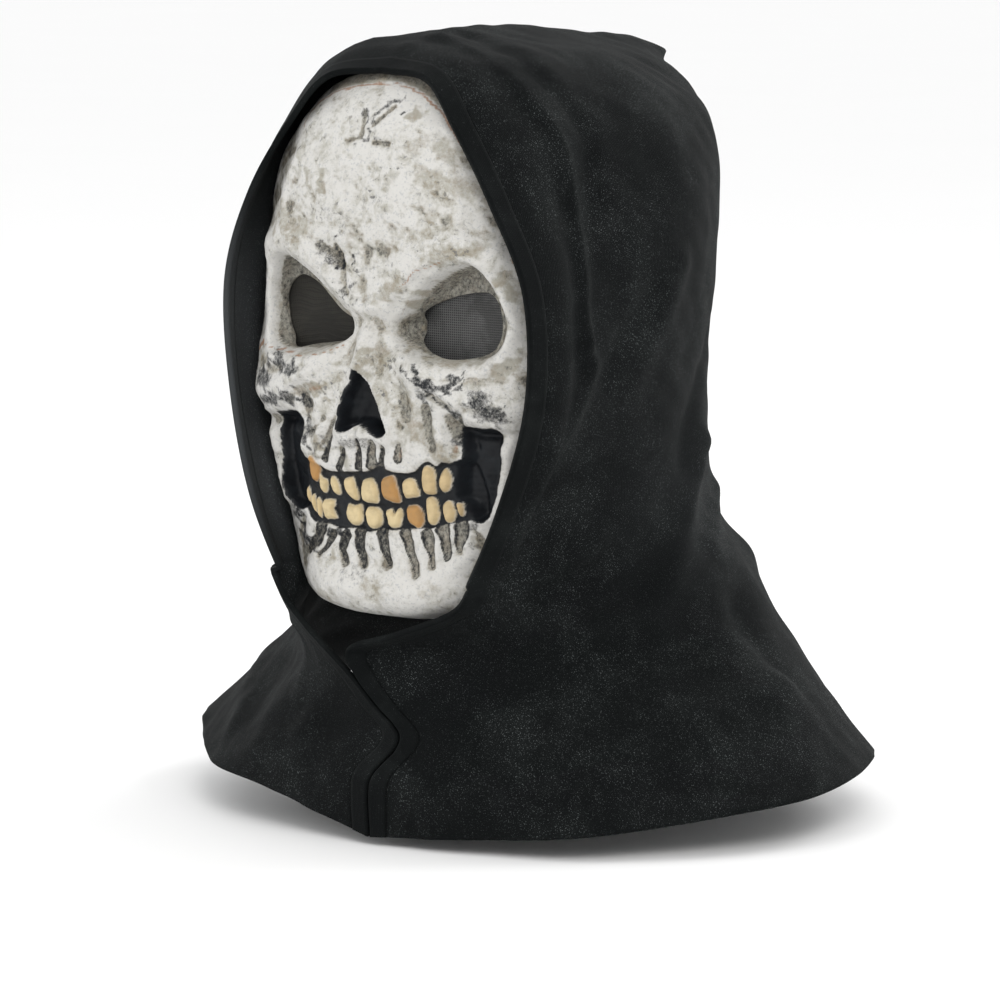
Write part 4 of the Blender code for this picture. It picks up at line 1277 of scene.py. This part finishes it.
    def paint(self, points: Array) -> dict[str, Array]:
        """Work out how much of each paint lies at each point of the face, and where shade is painted.

        Args:
            points: The smooth face's points, one a row.

        Returns:
            The amounts by name: ink_and_shade, wash_and_shade, rust, tooth and tone.
        """
        flat = points[:, (0, 2)]
        rough = flat + 1.5 * np.column_stack([soft_noise(flat, 5.0, 21), soft_noise(flat, 5.0, 22)])
        soft = flat + 0.25 * np.column_stack([soft_noise(flat, 9.0, 23), soft_noise(flat, 9.0, 24)])
        ink_and_shade, wash_and_shade, rust = (np.zeros(len(flat)) for _ in range(3))
        for patches, into, spread in ((INK, ink_and_shade, 2.1), (WASHES, wash_and_shade, 2.0), (RUSTS, rust, 1.3)):
            for patch in patches:
                spots = soft if into is rust else rough
                away = line_distance(spots, patch.route) / patch.width
                fall = smooth_step((spread - away) / (spread - 0.4))
                np.maximum(into, patch.strength * fall, out=into)
        for root in ROOTS:
            ends = (root.route[0][1], root.route[-1][1])
            far, near = sorted(ends, key=lambda level: -abs(level - BITE_LEVEL))
            share = np.clip((flat[:, 1] - far) / (near - far), 0, 1)
            deep = 1 - line_distance(soft, root.route) / (root.width * (0.62 + 0.9 * share))
            centre = 0.3 if root.name in OLIVE_ROOTS else 0.08
            ring = smooth_step(deep / 0.22) * (1 - centre * smooth_step((deep - 0.30) / 0.3))
            np.maximum(ink_and_shade, 0.9 * ring, out=ink_and_shade)
            np.maximum(wash_and_shade, smooth_step(deep / 0.3), out=wash_and_shade)
        half = np.column_stack([np.abs(soft[:, 0]), soft[:, 1]])
        socket = smooth_step(outline_depth(half, closed_outline(SOCKET_RIM)) / 5.0)
        np.maximum(wash_and_shade, 0.9 * socket, out=wash_and_shade)
        np.maximum(ink_and_shade, 0.14 * socket, out=ink_and_shade)
        np.maximum(ink_and_shade, smooth_step(outline_depth(soft, closed_outline(NOSE_HOLLOW, 4)) / 0.8 + 0.3), out=ink_and_shade)
        for outline in (LEFT_HOLLOW, RIGHT_HOLLOW):
            np.maximum(ink_and_shade, smooth_step(outline_depth(soft, closed_outline(outline)) / 1.0 + 0.4), out=ink_and_shade)
        band = outline_depth(soft, closed_outline(GUM_BAND))
        np.maximum(ink_and_shade, smooth_step(band / 0.8 + 0.5), out=ink_and_shade)
        np.maximum(rust, 0.85 * smooth_step(1.5 - line_distance(soft, EDGE_LINE) / 0.6), out=rust)
        # Above the edge line, under the hem's rim: the bare latex edge, tinted tan and darkened with painted
        # shade.
        above = (flat[:, 1] > -30) & (np.abs(flat[:, 0]) < 34)
        crown = np.interp(flat[:, 0], [p[0] for p in EDGE_LINE[:11]], [p[1] for p in EDGE_LINE[:11]])
        np.maximum(wash_and_shade, np.where(above, smooth_step((flat[:, 1] - crown - 0.3) / 0.8), 0), out=wash_and_shade)
        np.maximum(ink_and_shade, np.where(above, 0.55 * smooth_step((flat[:, 1] - crown - 0.8) / 1.2), 0), out=ink_and_shade)
        tooth, tone = np.zeros(len(flat)), np.zeros(len(flat))
        for shape in UPPER_TEETH + LOWER_TEETH:
            depth = outline_depth(flat, closed_outline(shape.outline, 4))
            cover = smooth_step((depth + 0.35) / 0.8)
            tone = np.where(cover > tooth, shape.tone, tone)
            tooth = np.maximum(tooth, cover)
        return {"ink_and_shade": ink_and_shade * (1 - tooth), "wash_and_shade": wash_and_shade, "rust": rust, "tooth": tooth, "tone": tone}

    def hollow_shade(self, sunk: Array) -> Array:
        """Find where shade is painted: in narrow grooves and in the broader hollows round them.

        Args:
            sunk: How far each point lies behind the smooth face, [row, column], in millimetres.

        Returns:
            The amount at each point, from 0 to 1.
        """
        narrow = np.clip((sunk - blurred(sunk, 5)) / 0.6, 0, 1)
        broad = np.clip((sunk - blurred(sunk, 22)) / 2.4, 0, 1)
        return np.clip(0.8 * narrow + 0.75 * broad, 0, 1)

    def build(self, effects: SharedEffects) -> list[bpy.types.Object]:
        """Model the painted skin and the skin behind it.

        Args:
            effects: The shared shader groups.

        Returns:
            The two skins.
        """
        angles, levels = self.columns(self.fine_step), self.levels(1.0)
        base = self.fit_to_eye(self.smooth_face(angles, levels))
        outer = self.formed(base.reshape(-1, 3)).reshape(base.shape)
        behind = outer + self.inward(base, angles, levels) * self.thickness
        skin_points = np.pad(behind, ((1, 1), (1, 1), (0, 0)), mode="edge")
        skin_points[1:-1, 1:-1] = outer
        flat = np.pad(base, ((1, 1), (1, 1), (0, 0)), mode="edge")
        self.outer = outer
        skin = grid_piece("skull_face", skin_points)
        for name, values in self.paint(flat.reshape(-1, 3)).items():
            set_attribute(skin, name, values)
        # Painted shade in grooves and hollows, from how far each point lies behind the smooth face.
        set_attribute(skin, "hollow_shade", self.hollow_shade(skin_points[:, :, 1] - flat[:, :, 1]))
        self.cut_eyes(skin, skin_points.reshape(-1, 3)[:, (0, 2)], self.thickness)
        angles, levels = self.columns(self.fine_step * 2.2), self.levels(0.45)
        base = self.fit_to_eye(self.smooth_face(angles, levels))
        inner = self.formed(base.reshape(-1, 3), detail=False).reshape(base.shape)
        inner = inner + self.inward(base, angles, levels) * self.thickness
        back = grid_piece("skull_face_back", inner)
        self.cut_eyes(back, inner.reshape(-1, 3)[:, (0, 2)], -0.3)
        select_only(back)
        bpy.ops.object.mode_set(mode="EDIT")
        bpy.ops.mesh.select_all(action="SELECT")
        bpy.ops.mesh.flip_normals()
        bpy.ops.object.mode_set(mode="OBJECT")
        plain = moulding_material(effects)
        bone = BonePaint().make(effects)
        for piece, finish in ((skin, bone), (back, plain)):
            piece.data.materials.clear()
            piece.data.materials.append(finish)
            piece.data.shade_smooth()
            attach(piece, BODY)
        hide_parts("face_shell")
        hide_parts("face_shell")
        return [skin, back]


def moulding_material(effects: SharedEffects) -> bpy.types.Material:
    """Make the plain grey rubber of the shell's inner side.

    Args:
        effects: The shared shader groups.

    Returns:
        The material.
    """
    made, nodes, shader = new_material("moulded rubber")
    place = nodes.add("TexCoord").outputs["Object"]
    worn = nodes.group(effects.blotches, Place=place, Scale=70.0, Low=0.35, High=0.7)
    nodes.feed(shader.inputs["Base Color"], nodes.mix(worn.outputs["Mask"], colour(0.16, 0.155, 0.14),
                                                      colour(0.28, 0.27, 0.24)))
    bump = nodes.add("Bump", Strength=0.3, Distance=0.0008, Height=worn.outputs["Height"])
    nodes.feed(shader.inputs["Normal"], bump.outputs["Normal"])
    shader.inputs["Roughness"].default_value = 0.7
    return made


@dataclass
class EyeScreens:
    """The two woven screens behind the eye holes."""

    front: float = -84.0 + 2.2 + 0.35
    thickness: float = 0.9
    overlap: float = 10.0

    def outline(self, side: int) -> Array:
        """Find a screen's outline, wider than its hole all round.

        Args:
            side: The wearer's side, as the sign of X.

        Returns:
            The outline's points (x, z).
        """
        ring = eye_hole(side)[::3]
        before, after = np.roll(ring, 1, axis=0), np.roll(ring, -1, axis=0)
        along = (after - before) / np.linalg.norm(after - before, axis=1)[:, None]
        outward = np.column_stack([along[:, 1], -along[:, 0]])
        area = np.sum(ring[:, 0] * after[:, 1] - after[:, 0] * ring[:, 1])
        return ring + outward * self.overlap * np.sign(area)

    def build(self, effects: SharedEffects) -> list[bpy.types.Object]:
        """Model both screens.

        Args:
            effects: The shared shader groups.

        Returns:
            The two screens.
        """
        # Painted light: the left screen's threads are painted lit grey and the right's painted dark in shade.
        looks = {
            Side.LEFT: EyeNet("eye net painted lit", colour(0.115, 0.115, 0.115), colour(0.012, 0.012, 0.012),
                              1.05, 0.0),
            Side.RIGHT: EyeNet("eye net painted in shade", colour(0.030, 0.028, 0.022), colour(0.008, 0.007, 0.006),
                               0.9, 0.8),
        }
        made = []
        for side, look in looks.items():
            ring = self.outline(side.value)
            bpy.ops.object.select_all(action="DESELECT")
            bpy.ops.mesh.primitive_circle_add(vertices=len(ring), radius=1, fill_type="NGON")
            piece = bpy.context.active_object
            piece.name = f"eye_net_{side.name.lower()}"
            mesh = piece.data
            count = len(ring)
            middle = np.full(count, self.front + self.thickness / 2)
            points = np.column_stack([ring[:, 0], middle, ring[:, 1]])
            mesh.vertices.foreach_set("co", (points * MM).ravel())
            layer = mesh.uv_layers.active or mesh.uv_layers.new()
            corner = np.empty(len(mesh.loops), int)
            mesh.loops.foreach_get("vertex_index", corner)
            layer.data.foreach_set("uv", ring[corner].ravel())
            mesh.update()
            add_wall(piece, self.thickness, 0)
            mesh.materials.clear()
            mesh.materials.append(look.make(effects))
            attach(piece, BODY)
            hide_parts(f"eye_screen_{side.name.lower()}")
            made.append(piece)
        return made


@dataclass
class Hood:
    """The knitted hood and cape, and the sewn hem round its opening."""

    thickness: float = 1.3
    cloth_flat: tuple[float, float] = (0.62, 0.42)
    hem_thickness: float = 2.6
    hem_width: float = 9.0
    hem_turned: float = 1.4
    seam_lap: float = 0.6
    clearance: float = 0.9
    fold_column: int = 2
    seam_column: int = 5
    front_fall: float = 1.7
    round_back: float = 0.72
    right_lift: tuple[float, ...] = (11.0, 4.0, 0.0)
    right_spread: tuple[float, ...] = (7.0, 2.0, 0.0)
    levels_between: tuple[int, ...] = (16, 20, 20, 18, 20, 20, 20, 18, 16, 12, 9)
    columns_between: tuple[int, ...] = (14, 22, 30, 30, 24)

    def half_net(self) -> Array:
        """Lay out the left half's control points: net[row, column], rim to back seam.

        Returns:
            The net's points.
        """
        rim, side = (np.array([getattr(row, name) for row in HOOD_ROWS], float) for name in ("rim", "side"))
        fold = np.array([row.fold for row in HOOD_ROWS], float)
        seam = np.array([(0.0, *row.seam) for row in HOOD_ROWS])
        outward = np.cross(fold - rim, np.gradient(rim, axis=0))
        outward[-1, 0] = 0
        outward /= np.linalg.norm(outward, axis=1)[:, None]
        swell = np.array([[row.swell] for row in HOOD_ROWS])
        rear = (side + seam) / 2
        rear[:, 0] = side[:, 0] * self.round_back
        rear[:, 1] = side[:, 1] + (seam[:, 1] - side[:, 1]) * self.round_back
        middle = (rim + fold) / 2 + swell * outward
        return np.stack([rim, middle, fold + self.clearance * outward, side, rear, seam], axis=1)

    def net(self) -> Array:
        """Lay out the whole hood's control points, from the right rim round to the left.

        Returns:
            The net's points.
        """
        left = self.half_net()
        right = left * (-1, 1, 1)
        for level, (lift, spread) in enumerate(zip(self.right_lift, self.right_spread)):
            right[level, 1:-1, 2] += lift
            right[level, 1:-1, 0] -= spread
        return np.concatenate([right[:, :-1], left[:, ::-1]], axis=1)

    def front_shift(self, rim: Array, mirrored: bool) -> Array:
        """Find how far across each point of a front edge moves, to lie in the curl below the chin.

        Args:
            rim: The rim's points, from the bottom up.
            mirrored: Whether this is the wearer's right rim.

        Returns:
            One distance for each point.
        """
        edges = spline(FRONT_EDGES, np.linspace(0, len(FRONT_EDGES) - 1, 200))
        target = np.interp(rim[:, 2], edges[:, 0], edges[:, 1] if mirrored else edges[:, 2])
        return np.where(rim[:, 2] < edges[-1, 0], target - rim[:, 0], 0)

    def surface(self, columns: Array, levels: Array) -> Array:
        """Shape the cloth with its folds: points[level, column].

        Args:
            columns: Places across the cloth, for all rows or for each row.
            levels: The rows' places.

        Returns:
            The cloth's points.
        """
        columns = np.broadcast_to(columns, (len(levels), np.shape(columns)[-1]))
        rows = spline(self.net(), levels)
        grid = np.array([spline(row, places) for row, places in zip(rows, columns)])
        last = 2 * self.seam_column
        for from_rim, rim, mirrored in ((columns, rows[:, 0], True), (last - columns, rows[:, -1], False)):
            weight = smooth_step((self.fold_column - from_rim) / self.front_fall)
            grid[:, :, 0] += weight * self.front_shift(rim, mirrored)[:, None]
        normal = np.cross(np.gradient(grid, axis=1), np.gradient(grid, axis=0)).reshape(-1, 3)
        normal /= np.linalg.norm(normal, axis=1)[:, None] + 1e-9
        flat = grid.reshape(-1, 3)
        lift = np.zeros(len(flat))
        for fold in FOLDS:
            away = line_distance(flat, np.array(fold.route, float)) / fold.width
            lift += fold.height * np.exp(-(away**fold.power))
        lift += 0.7 * soft_noise(flat * (1.0, 1.0, 0.6), 46.0, 31) + 0.25 * soft_noise(flat, 17.0, 32)
        fade = smooth_step(np.minimum(columns, last - columns).reshape(-1) / self.fold_column)
        grid = (flat + normal * (lift * fade)[:, None]).reshape(grid.shape)
        grid[-1, :, 0] = 0
        return grid

    def levels(self, share: float = 1.0) -> Array:
        """Places of the cloth's rows, from the bottom edge to the crown.

        Args:
            share: How many rows to make, as a share of the full count.

        Returns:
            The rows' places.
        """
        counts = [max(2, round(count * share)) for count in self.levels_between]
        places = [k + j / n for k, n in enumerate(counts) for j in range(n)]
        return np.array(places + [len(HOOD_ROWS) - 1.0])

    def places_from_rim(self, length: float, levels: Array) -> Array:
        """On each row, find the column that lies this length round from the right rim.

        Args:
            length: The length, in millimetres.
            levels: The rows' places.

        Returns:
            One column place for each row.
        """
        columns = np.linspace(0, self.fold_column, 81)
        dense = self.surface(columns, levels)
        steps = np.linalg.norm(np.diff(dense, axis=1), axis=2)
        lengths = np.concatenate([np.zeros((len(dense), 1)), steps.cumsum(axis=1)], axis=1)
        return np.array([np.interp(length, row, columns) for row in lengths])

    def plan(self, points: Array) -> Array:
        """Unroll a sheet into its own flat coordinates, in millimetres.

        Args:
            points: The sheet's points, [row, column].

        Returns:
            The flat coordinates, [row, column].
        """
        across = np.linalg.norm(np.diff(points, axis=1), axis=2)
        up = np.linalg.norm(np.diff(points, axis=0), axis=2)
        zeros_a, zeros_u = np.zeros((len(points), 1)), np.zeros((1, points.shape[1]))
        u = np.concatenate([zeros_a, across.cumsum(axis=1)], axis=1)
        v = np.concatenate([zeros_u, up.cumsum(axis=0)], axis=0)
        u -= u[:, u.shape[1] // 2][:, None]
        return np.stack([u, v], axis=2)

    def painted_backlight_amount(self, points: Array) -> Array:
        """Find where the light that shows through the stretched cloth is painted as grey: beside the face and
        over the far cheek, and faintly at the nape.

        Args:
            points: The cloth's points, one a row.

        Returns:
            The amount at each point, from 0 to 1.
        """
        beside = smooth_step((-points[:, 0] - 40) / 38) * smooth_step((-points[:, 1] - 36) / 56)
        low = smooth_step((points[:, 2] + 266) / 70) * smooth_step((-48 - points[:, 2]) / 80)
        nape = np.exp(-(np.linalg.norm((points - (88, 12, -205)) / (26, 40, 34), axis=1) ** 2))
        return np.clip(beside * low + 0.12 * nape, 0, 1)

    def build(self, effects: SharedEffects) -> list[bpy.types.Object]:
        """Model the hood and the hem.

        Args:
            effects: The shared shader groups.

        Returns:
            The hood and the hem.
        """
        levels = self.levels()
        starts = self.places_from_rim(self.hem_width - self.seam_lap, levels)
        ends = np.arange(1, self.seam_column + 1.0)
        rows = []
        for start in starts:
            stops = np.concatenate([[start], ends])
            stretches = zip(stops, stops[1:], self.columns_between)
            half = [a + (b - a) * j / n for a, b, n in stretches for j in range(n)]
            rows.append(half + [float(self.seam_column)] + [2 * self.seam_column - p for p in reversed(half)])
        points = self.surface(np.array(rows), levels)
        hood = grid_piece("hood_cloth", points, self.plan(points))
        # Painted light: grey where light shows through the stretched cloth.
        set_attribute(hood, "painted_backlight", self.painted_backlight_amount(points.reshape(-1, 3)))
        merge_close_points(hood)
        add_wall(hood, self.thickness, 0)
        knit = JerseyKnit().make(effects)
        finish_piece(hood, knit, "hood")

        levels = self.levels(1.6)
        shares = np.linspace(0, 1, 7)
        right = self.surface(self.places_from_rim(self.hem_width, levels)[:, None] * shares, levels)
        width = 2 * self.seam_column - self.places_from_rim(self.hem_width, levels)[:, None] * shares
        left = self.surface(width, levels)
        points = np.concatenate([right, left[-2::-1]])
        crown = len(levels) - 1
        points[crown, :, 0] = 0
        hem = grid_piece("opening_hem_band", points, self.plan(points))
        # Painted light: the hem's grey where light shows through it.
        set_attribute(hem, "painted_backlight", 0.9 * self.painted_backlight_amount(points.reshape(-1, 3)))
        merge_close_points(hem)
        add_wall(hem, self.hem_thickness, 0)
        tight = JerseyKnit("hem jersey", glint_cover=0.33, stitch=0.8)
        finish_piece(hem, tight.make(effects), "opening_hem")
        return [hood, hem]


def finish_piece(piece: bpy.types.Object, finish: bpy.types.Material, node: str) -> None:
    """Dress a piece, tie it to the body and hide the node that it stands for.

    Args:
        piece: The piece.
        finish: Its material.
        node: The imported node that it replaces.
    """
    piece.data.materials.clear()
    piece.data.materials.append(finish)
    piece.data.shade_smooth()
    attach(piece, BODY)
    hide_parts(node)


@dataclass
class Studio:
    """A plain pale floor, soft light and the camera."""

    azimuth: float = 35.0
    elevation: float = 7.5
    distance: float = 2300.0
    shift_right: float = -2.25
    shift_up: float = -31.3
    centre_z: float = -180.0
    sensor: float = 36.0
    mm_per_pixel: float = 0.45
    frame_pixels: int = 1000
    floor_z: float = -353.0
    floor_size: float = 90.0

    def floor(self) -> bpy.types.Object:
        """Lay the floor.

        Returns:
            The floor.
        """
        bpy.ops.object.select_all(action="DESELECT")
        bpy.ops.mesh.primitive_plane_add(size=self.floor_size, location=(0, 0, self.floor_z * MM))
        floor = bpy.context.active_object
        floor.name = "studio_floor"
        made, nodes, shader = new_material("pale paper")
        place = nodes.add("TexCoord").outputs["Object"]
        grain = nodes.add("TexNoise", Vector=place, Scale=3.0, Detail=3.0)
        nodes.feed(shader.inputs["Base Color"], nodes.mix(grain.outputs["Fac"], colour(0.955, 0.955, 0.955),
                                                          colour(0.97, 0.97, 0.97)))
        shader.inputs["Roughness"].default_value = 0.9
        floor.data.materials.append(made)
        return floor

    def area_light(self, name: str, place: tuple, aim: tuple, size: float, power: float, tint: tuple) -> None:
        """Hang one soft light.

        Args:
            name: The light's name.
            place: Where it hangs, in metres.
            aim: Where it points, in metres.
            size: The width of its square face, in metres.
            power: Its strength, in watts.
            tint: Its colour.
        """
        bpy.ops.object.light_add(type="AREA", location=place)
        light = bpy.context.active_object
        light.name = name
        light.data.size = size
        light.data.energy = power
        light.data.color = tint
        light.rotation_euler = (Vector(aim) - Vector(place)).to_track_quat("-Z", "Y").to_euler()

    def lights(self) -> None:
        """Light the studio."""
        scene = bpy.context.scene
        world = bpy.data.worlds.new("studio white")
        world.use_nodes = True
        background = world.node_tree.nodes["Background"]
        background.inputs["Color"].default_value = colour(1.0, 1.0, 1.0)
        background.inputs["Strength"].default_value = 1.0
        scene.world = world
        scene.view_settings.view_transform = "Standard"
        scene.view_settings.look = "None"
        middle = (0.0, 0.0, -0.16)
        self.area_light("key light", (1.5, -1.6, 1.3), middle, 1.0, 20.0, (1.0, 0.99, 0.97))
        self.area_light("left light", (-1.7, -1.2, 0.5), middle, 0.9, 6.0, (0.97, 0.99, 1.0))
        self.area_light("rear light", (0.9, 1.7, 1.2), middle, 1.0, 14.0, (1.0, 1.0, 1.0))

    def camera(self) -> bpy.types.Object:
        """Place the camera at the photograph's angle.

        Returns:
            The camera.
        """
        turn, tilt = math.radians(self.azimuth), math.radians(self.elevation)
        back = Vector((math.sin(turn) * math.cos(tilt), -math.cos(turn) * math.cos(tilt), math.sin(tilt)))
        right = Vector((math.cos(turn), math.sin(turn), 0))
        up = back.cross(right)
        aim = Vector((0, 0, self.centre_z)) + right * self.shift_right + up * self.shift_up
        bpy.ops.object.camera_add(location=(aim + back * self.distance) * MM)
        camera = bpy.context.active_object
        camera.name = "studio_camera"
        camera.rotation_euler = Matrix((right, up, back)).transposed().to_euler()
        camera.data.sensor_width = self.sensor
        camera.data.lens = self.sensor * self.distance / (self.mm_per_pixel * self.frame_pixels)
        camera.data.clip_start = 0.05
        camera.data.clip_end = 200.0
        bpy.context.scene.camera = camera
        return camera


def main() -> None:
    """Build and dress the mask, then light it."""
    logging.basicConfig(level=logging.INFO, format="%(message)s")
    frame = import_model()
    LOG.info("packed nodes: %s", ", ".join(frame["nodes"]))
    studio = Studio()
    studio.camera()
    effects = SharedEffects()
    for assembly in (Hood(), FaceShell(), EyeScreens()):
        for piece in assembly.build(effects):
            LOG.info("%s: %d faces", piece.name, len(piece.data.polygons))
    studio.floor()
    studio.lights()


if __name__ == "__main__":
    main()
